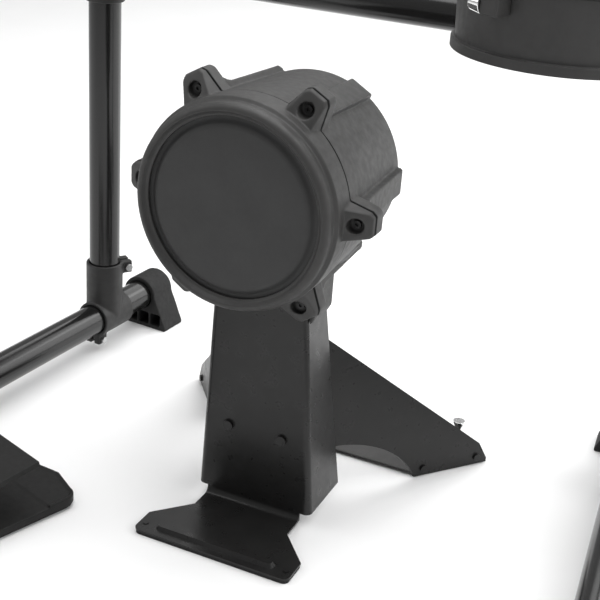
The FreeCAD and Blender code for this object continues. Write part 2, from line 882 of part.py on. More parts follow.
def rear_base():
    body = raw_body("base_sheet")
    front, back, gap = d.base_front, d.base_back, d.base_side_gap
    flange_end = d.base_flange_end
    plate = outline(body, "XY_Plane", d.base_rubber_thick, [
        (gap - wing_inner_half(front), front),
        (wing_inner_half(front) - gap, front),
        (wing_inner_half(flange_end) - gap, flange_end),
        (wing_inner_half(flange_end) - gap, back),
        (gap - wing_inner_half(flange_end), back),
        (gap - wing_inner_half(flange_end), flange_end),
    ])
    pad(body, plate, d.sheet_wall)
    flange_half = d.sheet_wall * wing_length / wing_run
    for side in SIDES:
        flange = outline(body, "XY_Plane", base_top, [
            (side * (wing_inner_half(front) - gap), front),
            (side * (wing_inner_half(flange_end) - gap), flange_end),
            (side * (wing_inner_half(flange_end) - gap - flange_half), flange_end),
            (side * (wing_inner_half(front) - gap - flange_half), front),
        ])
        pad(body, flange, d.base_flange_height)
    trim_wings(body)
    spurs = [(side * d.rear_spur_half, d.rear_spur_back) for side in SIDES]
    holes = circles(body, "XY_Plane", base_top, d.rear_spur_radius + d.running_gap, spurs)
    pocket(body, holes, d.sheet_wall + d.overrun)
    keep("rear_base_plate", cut(body, *wing_screw_holes()))
    sole_body = new_body("rear_foot_rubber")
    inset = d.base_rubber_inset
    sole = outline(sole_body, "XY_Plane", 0, [
        (inset - wing_inner_half(front + inset), front + inset),
        (wing_inner_half(front + inset) - inset, front + inset),
        (wing_inner_half(flange_end) - inset, flange_end),
        (wing_inner_half(flange_end) - inset, back - inset),
        (inset - wing_inner_half(flange_end), back - inset),
        (inset - wing_inner_half(flange_end), flange_end),
    ])
    pad(sole_body, sole, d.base_rubber_thick)
    holes = circles(sole_body, "XY_Plane", d.base_rubber_thick, d.rear_spur_radius + d.running_gap, spurs)
    pocket(sole_body, holes, d.base_rubber_thick + d.overrun)


def wing_placed(body):
    """Puts a body on the right wing's outer face, square to it, where the base plate starts."""
    reach = d.base_front - d.wing_start
    angle = Size(math.degrees(math.atan(-wing_lean.value)), f"0 deg - atan({wing_lean.formula})")
    return place_turned(body, (d.brace_leg_half + reach * wing_lean, d.base_front, d.wing_screw_height), angle)


def wing_screw_spots():
    return [(along, 0) for along in (d.wing_screw_first, d.wing_screw_first + d.wing_screw_spread)]


def wing_screw_holes():
    body = wing_placed(raw_body("wing_screw_holes"))
    holes = circles(body, "YZ_Plane", 0, d.wing_screw_radius + d.sleeve_gap, wing_screw_spots())
    pad(body, holes, d.sheet_wall * 4 + d.overrun, both=True)
    return body, mirrored(body)


def wing_screws():
    """Screws through each wing into the base plate's flange."""
    body = wing_placed(raw_body("wing_screws_right"))
    spots = wing_screw_spots()
    pad(body, circles(body, "YZ_Plane", 0, d.wing_screw_head_radius, spots), d.wing_screw_head_height)
    shank_length = d.sheet_wall * 2 + d.base_side_gap
    pad(body, circles(body, "YZ_Plane", 0, d.wing_screw_radius, spots), shank_length, back=True)
    keep("wing_screws", group(body, mirrored(body)))


def rear_spurs():
    nuts = []
    nut_top = base_top + d.spur_nut_height
    for side, name in zip(SIDES, ("rear_spur_left", "rear_spur_right")):
        across = side * d.rear_spur_half
        knob_low = d.rear_spur_top - d.rear_spur_knob_height - d.floor_clear
        point = cone(0, d.rear_spur_radius, d.spur_point)
        shank = rod(d.rear_spur_radius, knob_low - d.spur_point, (0, 0, d.spur_point))
        band_low = knob_low + d.rear_spur_knob_height - d.rear_spur_knob_band
        flare = cone(d.rear_spur_radius, d.rear_spur_knob_radius, band_low - knob_low, (0, 0, knob_low))
        knob = rod(d.rear_spur_knob_radius, d.rear_spur_knob_band, (0, 0, band_low))
        place(keep(name, fused(point, shank, flare, knob)), (across, d.rear_spur_back, d.floor_clear))
        nut = hexagon(d.spur_nut_radius, d.spur_nut_height, (across, d.rear_spur_back, base_top))
        bore_place = (across, d.rear_spur_back, base_top)
        nuts.append(cut(nut, rod(d.rear_spur_radius + d.sleeve_gap, nut_top - base_top, bore_place)))
    keep("spur_nuts", group(*nuts))


def ear_corners():
    """One ear's outline at the first angle, in the plane of the drum's face."""
    return [
        (ear_root_radius, -d.ear_root_half),
        (ear_shoulder, -d.ear_shoulder_half),
        (ear_top, -d.ear_top_half),
        (ear_top, d.ear_top_half),
        (ear_shoulder, d.ear_shoulder_half),
        (ear_root_radius, d.ear_root_half),
    ]


def rear_shell():
    body = new_body("rear_shell")
    seam, back = d.seam_forward, -d.shell_back
    turned(body, outline(body, "XZ_Plane", 0, [
        (0, back),
        (shell_back_radius - d.shell_back_round, back),
        (shell_back_radius, back + d.shell_back_round, d.shell_back_round),
        (shell_seam_radius, seam),
        (0, seam),
    ]))
    ear_back = seam - d.ear_back_thick
    ear_sketch = outline(body, "XY_Plane", ear_back, ear_corners())
    around(body, pad(body, ear_sketch, d.ear_back_thick), ear_sketch)
    ramp_end = ear_back - d.ear_ramp_length
    rib_sketch = outline(body, "XZ_Plane", 0, [
        (ear_root_radius, ear_back),
        (ear_root_radius, back + d.rib_end_run),
        (rib_end_radius, back + d.rib_end_run),
        (rib_back_radius, back + d.rib_end_run * 2),
        (rib_front_radius, ramp_end),
        (ear_ramp_top, ear_back, -d.ear_ramp_radius),
    ])
    around(body, pad(body, rib_sketch, d.rib_half * 2, both=True), ear_sketch)
    neck = outline(body, "XY_Plane", -d.neck_back, [
        (d.neck_corner - d.neck_half, -neck_drop),
        (d.neck_half - d.neck_corner, -neck_drop),
        (d.neck_half, d.neck_corner * 2 - neck_drop),
        (d.neck_half, -neck_shoulder_drop),
        (-d.neck_half, -neck_shoulder_drop),
        (-d.neck_half, d.neck_corner * 2 - neck_drop),
    ])
    pad(body, neck, d.neck_front + d.neck_back)
    wall_drop = neck_drop - d.neck_wall_rise
    neck_wall = outline(body, "XY_Plane", 0, [
        (-d.neck_half, -wall_drop),
        (d.neck_half, -wall_drop),
        (d.neck_half, -neck_shoulder_drop),
        (-d.neck_half, -neck_shoulder_drop),
    ])
    pad(body, neck_wall, d.neck_wall_front)
    fairing = outline(body, "XY_Plane", -d.neck_shoulder_back, [
        (-d.neck_half, -neck_straight_drop),
        (d.neck_half, -neck_straight_drop),
        (neck_shoulder_half, -neck_shoulder_drop),
        (-neck_shoulder_half, -neck_shoulder_drop),
    ])
    fairing = pad(body, fairing, seam + d.neck_shoulder_back)
    fairing.setExpression("TaperAngle", (-d.neck_fairing_angle).formula)
    cavity_back = back + d.shell_wall
    turned(body, outline(body, "XZ_Plane", 0, [
        (0, cavity_back),
        (shell_back_radius - d.shell_wall, cavity_back),
        (shell_seam_radius - d.shell_wall, bridge_back - d.shell_ledge_depth),
        (shell_ledge_radius, bridge_back - d.shell_ledge_depth),
        (shell_ledge_radius, bridge_back),
        (bridge_radius + d.running_gap, bridge_back),
        (bridge_radius + d.running_gap, seam + d.overrun),
        (0, seam + d.overrun),
    ]), "Groove")
    socket_half = column_half(neck_low) + d.neck_fit
    socket_rise = column_top + d.neck_fit - d.drum_height
    socket_back = -d.neck_back - d.running_gap
    socket = outline(body, "YZ_Plane", 0, [
        (-neck_drop, socket_back),
        (socket_rise, socket_back),
        (socket_rise, column_front_at(column_top + d.neck_fit)),
        (-neck_drop, column_front_at(neck_low)),
    ])
    pocket(body, socket, socket_half * 2, both=True)
    screws = [(side * d.neck_screw_half, neck_screw_height - d.drum_height) for side in SIDES]
    pilots = circles(body, "XY_Plane", 0, d.neck_screw_radius, screws)
    pocket(body, pilots, d.neck_screw_length - neck_screw_back, back=True)
    inserts = circles(body, "XY_Plane", seam, d.lug_insert_radius, [(ear_circle, 0)])
    around(body, pocket(body, inserts, d.lug_insert_length), inserts)
    jack = circles(body, "XY_Plane", back, d.jack_bush_radius + d.sleeve_gap, [(0, -jack_drop)])
    pocket(body, jack, d.shell_wall, back=True)
    place(body, (0, 0, d.drum_height), FORWARD)


def front_hoop():
    body = new_body("front_hoop")
    seam, crest = d.seam_forward, d.rim_crest
    bore = head_flange_radius + d.running_gap
    lip_bore = face_radius + d.head_groove
    groove_floor = d.collar_radius - d.seam_groove_depth
    ear_start = seam + d.seam_groove
    slope_end = seam + d.collar_length + d.collar_slope
    turned(body, outline(body, "XZ_Plane", 0, [
        (bore, seam),
        (groove_floor, seam),
        (groove_floor, ear_start),
        (d.collar_radius, ear_start),
        (d.collar_radius, seam + d.collar_length),
        (rim_radius, slope_end),
        (rim_radius, crest - d.rim_round),
        (rim_radius - d.rim_round, crest, d.rim_round),
        (crest_inner_radius, crest),
        (step_radius, crest - d.step_drop),
        (lip_bore, lip_front),
        (lip_bore, lip_back),
        (bore, lip_back),
    ]))
    ear_sketch = outline(body, "XY_Plane", ear_start, ear_corners())
    ear = pad(body, ear_sketch, d.ear_face_root - d.seam_groove)
    ear.setExpression("TaperAngle", (-d.ear_draft_angle).formula)
    around(body, ear, ear_sketch)
    face, past = seam + d.ear_face_root, ear_top + d.overrun
    slope = outline(body, "XZ_Plane", 0, [
        (d.collar_radius + d.ear_face_proud, face),
        (ear_top, seam + d.ear_face_top),
        (past, seam + d.ear_face_top),
        (past, face + d.overrun),
        (d.collar_radius + d.ear_face_proud, face + d.overrun),
    ])
    around(body, pocket(body, slope, d.ear_root_half * 4, both=True), ear_sketch)
    recess = circles(body, "XY_Plane", face, d.lug_recess_radius, [(ear_circle, 0)])
    around(body, pocket(body, recess, d.ear_face_root - d.lug_recess_floor), recess)
    hole = circles(body, "XY_Plane", face, d.lug_screw_radius + d.lug_screw_gap, [(ear_circle, 0)])
    around(body, pocket(body, hole, d.ear_face_root + d.overrun), hole)
    place(body, (0, 0, d.drum_height), FORWARD)


def kick_head():
    body = new_body("playing_pad")
    turned(body, outline(body, "XZ_Plane", 0, [
        (0, head_back),
        (head_flange_radius, head_back),
        (head_flange_radius, head_flange_front),
        (face_radius, head_flange_front),
        (face_radius, head_front - d.face_round),
        (face_radius - d.face_round, head_front, d.face_round),
        (0, head_front),
    ]))
    place(body, (0, 0, d.drum_height), FORWARD)
    centre = d.drum_height
    keep("trigger_plate", rod(plate_radius, d.plate_thick, (0, -plate_back, centre), FORWARD))
    ring("foam_ring", foam_radius, d.foam_hole_radius, foam_back, plate_back)
    piezo_place = (0, d.piezo_thick - plate_back, centre)
    keep("piezo_sensor", rod(d.piezo_radius, d.piezo_thick, piezo_place, FORWARD))
    ring("sensor_bridge", bridge_radius, d.bridge_hole_radius, bridge_back, d.seam_forward)


def lug_fasteners():
    screws, inserts = [], []
    floor = d.seam_forward + d.lug_recess_floor
    for angle in EAR_ANGLES:
        across = ear_circle * math.cos(math.radians(angle))
        height = d.drum_height + ear_circle * math.sin(math.radians(angle))
        head = rod(d.lug_head_radius, d.lug_head_height, (across, -floor, height), FORWARD)
        socket_floor = floor + d.lug_head_height - d.lug_socket_depth
        socket = hexagon(d.lug_socket_radius, d.lug_socket_depth, (across, -socket_floor, height), FORWARD)
        shank = rod(d.lug_screw_radius, d.lug_screw_length, (across, -floor, height), ALONG_Y)
        screws.append(fused(cut(head, socket), shank))
        sleeve_place = (across, -d.seam_forward, height)
        sleeve = rod(d.lug_insert_radius, d.lug_insert_length, sleeve_place, ALONG_Y)
        bore = rod(d.lug_screw_radius, d.lug_insert_length, sleeve_place, ALONG_Y)
        inserts.append(cut(sleeve, bore))
    keep("lug_screws", group(*screws))
    keep("lug_inserts", group(*inserts))


def neck_screws():
    screws = []
    for side in SIDES:
        spot = (side * d.neck_screw_half, neck_screw_back, neck_screw_height)
        head = rod(d.neck_screw_head_radius, d.neck_screw_head_height, spot, ALONG_Y)
        screws.append(fused(head, rod(d.neck_screw_radius, d.neck_screw_length, spot, FORWARD)))
    keep("neck_screws", group(*screws))


def jack(wall):
    """A jack socket along +Z, with its body behind a wall that starts at the origin."""
    half_width, half_height = d.jack_body_width / 2, d.jack_body_height / 2
    case = block(d.jack_body_width, d.jack_body_height, d.jack_body_length,
                 (-half_width, -half_height, -d.jack_body_length))
    bush = rod(d.jack_bush_radius, wall + d.jack_stand)
    bore = rod(d.jack_bore_radius, wall + d.jack_stand + d.jack_body_length - d.tube_seat,
               (0, 0, d.tube_seat - d.jack_body_length))
    return cut(fused(case, bush), bore)


def kick_jack():
    height = d.drum_height - jack_drop
    place(keep("output_jack", jack(d.shell_wall)), (0, d.shell_back - d.shell_wall, height), ALONG_Y)
    nut = hexagon(d.jack_nut_radius, d.jack_nut_height)
    nut = keep("jack_nut", cut(nut, rod(d.jack_bush_radius + d.sleeve_gap, d.jack_nut_height)))
    place(nut, (0, d.shell_back, height), ALONG_Y)


def tube(length, at, turn):
    return cut(rod(tube_radius, length, at, turn), rod(tube_radius - d.tube_wall, length, at, turn))


# Each side frame of the rack is turned a little about its upright, and reaches as far forward as it does back
front_reach = d.rack_rear_reach + d.rack_back * 2 / cosine(d.rack_splay_angle)


def in_left_frame(piece, height):
    return place_turned(piece, (-d.rack_half_width, d.rack_back, height), -d.rack_splay_angle)


def rack_tubes():
    front, rear = front_reach - d.rack_foot_wall, d.rack_rear_reach - d.rack_foot_wall
    floor_tube = in_left_frame(tube(front + rear, (0, -front, 0), ALONG_Y), d.floor_tube_height)
    keep("right_floor_tube", mirrored(keep("left_floor_tube", floor_tube)))
    seat = d.floor_tube_height + tube_radius + d.tube_seat
    upright = tube(upright_top - seat, (-d.rack_half_width, d.rack_back, seat), UPWARD)
    keep("right_upright", mirrored(keep("left_upright", upright)))
    bar_half = d.rack_half_width - sleeve_bore - d.tube_seat
    keep("cross_bar", tube(bar_half * 2, (-bar_half, d.rack_back, d.bar_height), ALONG_X))


# The clamp ears of a tee, seen along the tube that they pinch
ear_bolt_out = sleeve_radius + d.ear_reach / 2
ear_out = sleeve_radius + d.ear_reach
bolt_bore = d.tee_bolt_radius + d.sleeve_gap
bolt_run = d.ear_width + d.overrun


def tee_bolt(spot, turn):
    """A bolt through the middle of a pair of ears, and the nut at its far end."""
    half = d.ear_width / 2
    nut_low = -half - d.tee_nut_height
    bolt = fused(
        rod(d.tee_bolt_radius, d.ear_width + d.tee_nut_height, (0, 0, nut_low)),
        rod(d.tee_bolt_head_radius, d.tee_bolt_head_height, (0, 0, half)))
    nut = cut(
        hexagon(d.tee_nut_radius, d.tee_nut_height, (0, 0, nut_low)),
        rod(d.tee_bolt_radius, d.tee_nut_height, (0, 0, nut_low)))
    return place(bolt, spot, turn), place(nut, spot, turn)


def turned_out(piece):
    """Turns an ear of the floor tee's upper sleeve out and back, about the upright."""
    return place_turned(piece, (0, 0, 0), d.ear_turn_angle)


def floor_tees():
    """A sleeve along the floor tube and one up the upright, each split and pinched by a pair of ears."""
    front, length = -d.floor_tee_front, d.floor_tee_front + d.floor_tee_rear
    rise, seat = d.floor_tee_top - d.floor_tube_height, tube_radius + d.tube_seat
    slit, over, width, tall = d.clamp_slit, d.overrun, d.ear_width, d.ear_height
    up_spot = (ear_bolt_out, 0, rise - tall / 2)
    low_spot = (0, front + tall / 2, -ear_bolt_out)
    solid = fused(
        rod(sleeve_radius, length, (0, front, 0), ALONG_Y),
        rod(sleeve_radius, rise),
        turned_out(group(block(ear_out, width, tall, (0, -width / 2, rise - tall)))),
        block(width, tall, ear_out, (-width / 2, front, -ear_out)))
    up_slit = fused(
        block(ear_out + over, slit, tall + over, (0, -slit / 2, rise - tall)),
        rod(bolt_bore, bolt_run, (up_spot[0], -bolt_run / 2, up_spot[2]), ALONG_Y))
    tee = cut(
        solid,
        rod(sleeve_bore, length + over * 2, (0, front - over, 0), ALONG_Y),
        rod(sleeve_bore, rise - seat + over, (0, 0, seat)),
        turned_out(up_slit),
        block(slit, tall + over, ear_out + over, (-slit / 2, front - over, -ear_out - over)),
        rod(bolt_bore, bolt_run, (-bolt_run / 2, low_spot[1], low_spot[2]), ALONG_X))
    left = keep("left_floor_tee", in_left_frame(tee, d.floor_tube_height))
    keep("right_floor_tee", mirrored(left))
    up_pieces = [turned_out(group(piece)) for piece in tee_bolt(up_spot, FORWARD)]
    pairs = zip(up_pieces, tee_bolt(low_spot, ALONG_X))
    return [in_left_frame(group(*kind), d.floor_tube_height) for kind in pairs]


def bar_tees():
    """A collar round the upright's top with a socket for the cross bar's end."""
    low, rise = d.bar_tee_drop, d.bar_tee_rise
    reach, over, width, tall, slit = d.bar_tee_reach, d.overrun, d.ear_width, d.ear_height, d.clamp_slit
    bar_end = sleeve_bore + d.tube_seat
    back_spot = (0, ear_bolt_out, tall / 2 - low)
    low_spot = (reach - tall / 2, 0, -ear_bolt_out)
    solid = fused(
        rod(sleeve_radius, low + rise, (0, 0, -low)),
        rod(sleeve_radius, reach, (0, 0, 0), ALONG_X),
        block(width, ear_out, tall, (-width / 2, 0, -low)),
        block(tall, width, ear_out, (reach - tall, -width / 2, -ear_out)))
    tee = cut(
        solid,
        rod(sleeve_bore, low + rise + over * 2, (0, 0, -low - over)),
        rod(sleeve_bore, reach - bar_end + over, (bar_end, 0, 0), ALONG_X),
        block(slit, ear_out + over, tall + over, (-slit / 2, 0, -low - over)),
        block(tall + over, slit, ear_out + over, (reach - tall, -slit / 2, -ear_out - over)),
        rod(bolt_bore, bolt_run, (-bolt_run / 2, back_spot[1], back_spot[2]), ALONG_X),
        rod(bolt_bore, bolt_run, (low_spot[0], -bolt_run / 2, low_spot[2]), ALONG_Y))
    spot = (-d.rack_half_width, d.rack_back, d.bar_height)
    keep("right_bar_tee", mirrored(keep("left_bar_tee", place(tee, spot))))
    pairs = (tee_bolt(back_spot, ALONG_X), tee_bolt(low_spot, FORWARD))
    return [place(group(*kind), spot) for kind in zip(*pairs)]


def tee_fasteners():
    for label, low, high in zip(("tee_bolts", "tee_nuts"), floor_tees(), bar_tees()):
        keep(label, group(low, high, mirrored(low), mirrored(high)))


def rack_feet():
    """Rubber feet that cap the ends of the floor tubes, with open cells under the tube."""
    over_radius = tube_radius + d.rack_foot_wall
    cells_half = d.rack_foot_half_width - d.rack_foot_cell_wall * 2
    pitch = cells_half * 2 / FOOT_CELLS
    for along, name, reach in ((-1, "front_foot", front_reach), (1, "rear_foot", d.rack_rear_reach)):
        body = new_body(f"left_{name}")
        side = outline(body, "XZ_Plane", 0, [
            (-d.rack_foot_half_width, 0),
            (d.rack_foot_half_width, 0),
            (d.rack_foot_half_width, d.rack_foot_side),
            (over_radius, d.floor_tube_height),
            (0, d.floor_tube_height + over_radius, over_radius),
            (-over_radius, d.floor_tube_height, over_radius),
            (-d.rack_foot_half_width, d.rack_foot_side),
        ])
        pad(body, side, d.rack_foot_length, back=along < 0)
        inner = d.rack_foot_length * along
        mouth = circles(body, "XZ_Plane", inner, sleeve_bore, [(0, d.floor_tube_height)])
        pocket(body, mouth, d.rack_foot_length - d.rack_foot_wall, back=along < 0)
        for index in range(FOOT_CELLS):
            start = pitch * index - cells_half
            cell = outline(body, "XZ_Plane", inner, [
                (start, d.rack_foot_cell_low),
                (start + pitch - d.rack_foot_cell_wall, d.rack_foot_cell_low),
                (start + pitch - d.rack_foot_cell_wall, d.rack_foot_cell_top),
                (start, d.rack_foot_cell_top),
            ])
            pocket(body, cell, d.rack_foot_cell_depth, back=along < 0)
        across = along * reach * sine(d.rack_splay_angle) - d.rack_half_width
        back = along * reach * cosine(d.rack_splay_angle) + d.rack_back
        place_turned(body, (across, back, 0), -d.rack_splay_angle)
        keep(f"right_{name}", mirrored(body))


def pad_clamp():
    """Two halves round the cross bar; the front half also takes the bent rod."""
    half, tall, gap = d.pad_clamp_half_width, d.pad_clamp_half_height, d.pad_clamp_split / 2
    bar = rod(sleeve_bore, half * 2, (-half, 0, 0), ALONG_X)
    front = block(half * 2, d.pad_clamp_front_depth - gap, tall * 2, (-half, -d.pad_clamp_front_depth, -tall))
    rear = block(half * 2, d.pad_clamp_back_depth - gap, tall * 2, (-half, gap, -tall))
    spots = [(side * d.pad_clamp_bolt_half, level * d.pad_clamp_bolt_rise) for side in SIDES for level in SIDES]
    through = d.pad_clamp_front_depth + d.pad_clamp_back_depth
    holes = fused(*[
        rod(d.tee_bolt_radius + d.sleeve_gap, through, (x, -d.pad_clamp_front_depth, z), ALONG_Y)
        for x, z in spots])
    rod_hole = rod(d.rod_radius + d.rod_gap, tall * 2, (0, -d.rod_forward, -tall))
    screw_hole = rod(d.wing_shank_radius + d.sleeve_gap, half, (-half, -d.rod_forward, 0), ALONG_X)
    spot = (pad_across, d.rack_back, d.bar_height)
    keep("pad_clamp_front", place(cut(front, bar, holes, rod_hole, screw_hole), spot))
    keep("pad_clamp_rear", place(cut(rear, bar, holes), spot))
    bolts = []
    for x, z in spots:
        shank = rod(d.tee_bolt_radius, through, (x, -d.pad_clamp_front_depth, z), ALONG_Y)
        head = rod(d.tee_bolt_head_radius, d.tee_bolt_head_height, (x, d.pad_clamp_back_depth, z), ALONG_Y)
        bolts.append(fused(shank, head))
    keep("pad_clamp_bolts", place(group(*bolts), spot))


def wing_screw(label, inside):
    """A wing screw along -X: its shank reaches inside a block whose face is at the origin."""
    stand = d.wing_shank_stand
    return keep(label, fused(
        rod(d.wing_shank_radius, inside + stand, (-stand, 0, 0), ALONG_X),
        rod(d.wing_boss_radius, d.wing_boss_height, (-stand - d.wing_boss_height, 0, 0), ALONG_X),
        block(d.wing_height, d.wing_thick, d.wing_half_span * 2,
              (-stand - d.wing_height, -d.wing_thick / 2, -d.wing_half_span))))


def pad_arm():
    level = rod_height - d.rod_bend
    front_end = pad_back + d.pad_top_radius + d.rod_end_wall
    corner = rod_back - d.rod_bend
    bend = doc.addObject("Part::Torus", "bend")
    bend.setExpression("Radius1", d.rod_bend.formula)
    bend.setExpression("Radius2", d.rod_radius.formula)
    bend.Angle3 = 90
    place(bend, (pad_across, corner, level), CYCLED)
    keep("pad_arm", fused(
        bend,
        rod(d.rod_radius, corner - front_end, (pad_across, front_end, rod_height), ALONG_Y),
        rod(d.rod_radius, level - rod_low, (pad_across, rod_back, rod_low))))
    inside = d.pad_clamp_half_width - d.rod_radius - d.rod_gap
    place(wing_screw("clamp_wing_screw", inside),
          (pad_across - d.pad_clamp_half_width, rod_back, d.bar_height))


def pad_spot(rise=0):
    return pad_across, pad_back, pad_low + rise


def pad_outer():
    return cone(pad_low_radius, d.pad_top_radius, d.pad_shell_height)


# Heights in the pad, above the underside of its shell
pad_rim_top = d.pad_shell_height + d.pad_rim_height
pad_lip_low = pad_rim_top - d.pad_lip_thick
pad_face = pad_rim_top - d.pad_face_drop
pad_head_low = pad_face - d.pad_head_thick
pad_plate_low = pad_head_low - d.plate_thick
pad_foam_low = d.pad_wall + d.strike_travel + d.running_gap


def pad_case():
    wall, tall = d.pad_wall, d.pad_shell_height
    slope = d.pad_taper / tall
    inside = cone(pad_low_radius + slope * wall - wall, d.pad_top_radius - wall, tall - wall, (0, 0, wall))
    solid = fused(pad_outer(), rod(pad_foot_radius, d.pad_foot_height))
    keep("pad_shell", place(cut(solid, inside), pad_spot()))
    bore = pad_flange_radius + d.running_gap
    rim = new_body("pad_rim")
    turned(rim, outline(rim, "XZ_Plane", 0, [
        (bore, tall),
        (pad_rim_radius, tall),
        (pad_rim_radius, pad_rim_top - d.pad_rim_round),
        (pad_rim_radius - d.pad_rim_round, pad_rim_top, d.pad_rim_round),
        (pad_lip_radius, pad_rim_top),
        (pad_lip_radius, pad_lip_low),
        (bore, pad_lip_low),
    ]))
    place(rim, pad_spot())


def pad_head():
    flange_top = pad_lip_low - d.running_gap
    pad_face_radius = pad_lip_radius - d.running_gap
    head = new_body("pad_head")
    turned(head, outline(head, "XZ_Plane", 0, [
        (0, pad_head_low),
        (pad_flange_radius, pad_head_low),
        (pad_flange_radius, flange_top),
        (pad_face_radius, flange_top),
        (pad_face_radius, pad_face),
        (0, pad_face),
    ]))
    place(head, pad_spot())
    keep("pad_plate", rod(pad_plate_radius, d.plate_thick, pad_spot(pad_plate_low)))
    foam_height = pad_plate_low - pad_foam_low
    foam = cut(rod(pad_foam_radius, foam_height), rod(d.foam_hole_radius, foam_height))
    keep("pad_foam", place(foam, pad_spot(pad_foam_low)))
    keep("pad_piezo", rod(d.piezo_radius, d.piezo_thick, pad_spot(pad_plate_low - d.piezo_thick)))


def pad_bracket():
    """The socket at the pad's back, shaped to its wall, in which the rod's level end is held."""
    half, tall = d.bracket_half_width, d.bracket_half_height
    level = rod_height - pad_low
    back = d.pad_top_radius + d.bracket_length
    depth = d.pad_wall * 2 + d.bracket_length
    solid = block(half * 2, depth, tall * 2, (-half, back - depth, level - tall))
    end = d.pad_top_radius + d.rod_end_wall - d.running_gap
    hole = rod(d.rod_radius + d.rod_gap, back - end, (0, end, level), ALONG_Y)
    screw_back = d.pad_top_radius + d.bracket_screw_back
    screw_hole = rod(d.wing_shank_radius + d.sleeve_gap, half, (-half, screw_back, level), ALONG_X)
    keep("pad_bracket", place(cut(solid, pad_outer(), hole, screw_hole), pad_spot()))
    inside = half - d.rod_radius - d.rod_gap
    place(wing_screw("pad_wing_screw", inside), (pad_across - half, pad_back + screw_back, rod_height))


def pad_jack():
    """A jack housing on the pad's side; the jack points along the pad's wall."""
    half, tall, rise = d.pad_jack_half_width, d.pad_jack_half_height, d.pad_jack_rise
    out = d.pad_top_radius + d.pad_jack_reach
    depth = d.pad_jack_reach + d.pad_wall * 2
    axis = out - d.pad_jack_inset
    housing = block(depth, half * 2, tall * 2, (out - depth, -half, rise - tall))
    bore = rod(d.jack_bush_radius + d.sleeve_gap, half * 2 - d.pad_wall, (axis, -half, rise), ALONG_Y)
    keep("pad_jack_housing", place_turned(cut(housing, pad_outer(), bore), pad_spot(), d.pad_jack_angle))
    inner = half - d.pad_wall
    collar_length = d.pad_jack_collar_length
    length = inner + half + collar_length
    jack_end = (axis, inner, rise)
    collar = cone(
        d.pad_jack_collar_radius, d.pad_jack_collar_end_radius, collar_length, (axis, -half, rise), FORWARD)
    bush = fused(rod(d.jack_bush_radius, length, jack_end, FORWARD), collar)
    socket = rod(d.jack_bore_radius, length, jack_end, FORWARD)
    keep("pad_jack", place_turned(cut(bush, socket), pad_spot(), d.pad_jack_angle))


pedal_base_top = d.pedal_sole_thick + d.pedal_base_thick
pedal_hinge = d.pedal_hinge_run - d.pedal_length


def in_pedal(piece):
    """The pedal stands turned; its own frame has the toe at the origin and the heel towards -Y."""
    return place_turned(piece, (-pedal_across, -d.pedal_toe, 0), -d.pedal_turn_angle)


def pedal_slab(body, inset, low, high):
    """A slab of the pedal's plan, rounded at its four corners and a little pointed at the toe."""
    corner = d.pedal_corner - inset
    wide, toe, heel = d.pedal_half_width - inset, 0 - as_size(inset), as_size(inset) - d.pedal_length
    toe_side = toe - d.pedal_toe_slant
    pad(body, outline(body, "XY_Plane", low, [
        (corner - wide, heel, corner),
        (wide - corner, heel),
        (wide, heel + corner, corner),
        (wide, toe_side - corner),
        (wide - corner, toe_side, corner),
        (0, toe),
        (corner - wide, toe_side),
        (-wide, toe_side - corner, corner),
        (-wide, heel + corner),
    ]), high - low)


def pedal_base():
    sole = new_body("pedal_sole")
    pedal_slab(sole, d.pedal_sole_inset, 0, d.pedal_sole_thick)
    in_pedal(sole)
    body = new_body("pedal_base")
    half, corner = d.pedal_half_width, d.pedal_corner
    pedal_slab(body, 0, d.pedal_sole_thick, pedal_base_top)
    toe_side = -d.pedal_toe_slant
    toe = outline(body, "XY_Plane", pedal_base_top, [
        (-half, -d.pedal_toe_length),
        (half, -d.pedal_toe_length),
        (half, toe_side - corner),
        (half - corner, toe_side, corner),
        (0, 0),
        (corner - half, toe_side),
        (-half, toe_side - corner, corner),
    ])
    pad(body, toe, d.pedal_toe_height - pedal_base_top)
    lug_inner = d.pedal_board_half + d.running_gap
    radius = d.pedal_knuckle_radius
    for side in SIDES:
        lug = outline(body, "YZ_Plane", side * lug_inner, [
            (pedal_hinge - radius, pedal_base_top),
            (pedal_hinge + radius, pedal_base_top),
            (pedal_hinge + radius, d.pedal_hinge_height),
            (pedal_hinge, d.pedal_hinge_height + radius, radius),
            (pedal_hinge - radius, d.pedal_hinge_height, radius),
        ])
        pad(body, lug, half - lug_inner, back=side < 0)
    pin_spot = (pedal_hinge, d.pedal_hinge_height)
    bore = circles(body, "YZ_Plane", 0, d.pedal_pin_radius + d.sleeve_gap, [pin_spot])
    pocket(body, bore, (half + d.overrun) * 2, both=True)
    in_pedal(body)


def pedal_board():
    """The board, drawn level with its pin at the origin and then tipped up at the toe."""
    reach = -pedal_hinge - d.pedal_toe_length - d.pedal_board_gap
    half, thick = d.pedal_board_half, d.pedal_board_thick
    plate = block(half * 2, reach, thick, (-half, 0, d.pedal_spring_radius + d.running_gap))
    length = d.pedal_knuckle_length
    knuckles = [rod(d.pedal_knuckle_radius, length, (start, 0, 0), ALONG_X) for start in (-half, half - length)]
    bore = rod(d.pedal_pin_radius + d.sleeve_gap, half * 2, (-half, 0, 0), ALONG_X)
    board = cut(fused(plate, *knuckles), bore)
    tilt = FreeCAD.Rotation(FreeCAD.Vector(1, 0, 0), d.pedal_board_tilt.value)
    place(board, (0, pedal_hinge, d.pedal_hinge_height), tilt)
    board.setExpression("Placement.Rotation.Angle", d.pedal_board_tilt.formula)
    keep("pedal_board", in_pedal(group(board)))


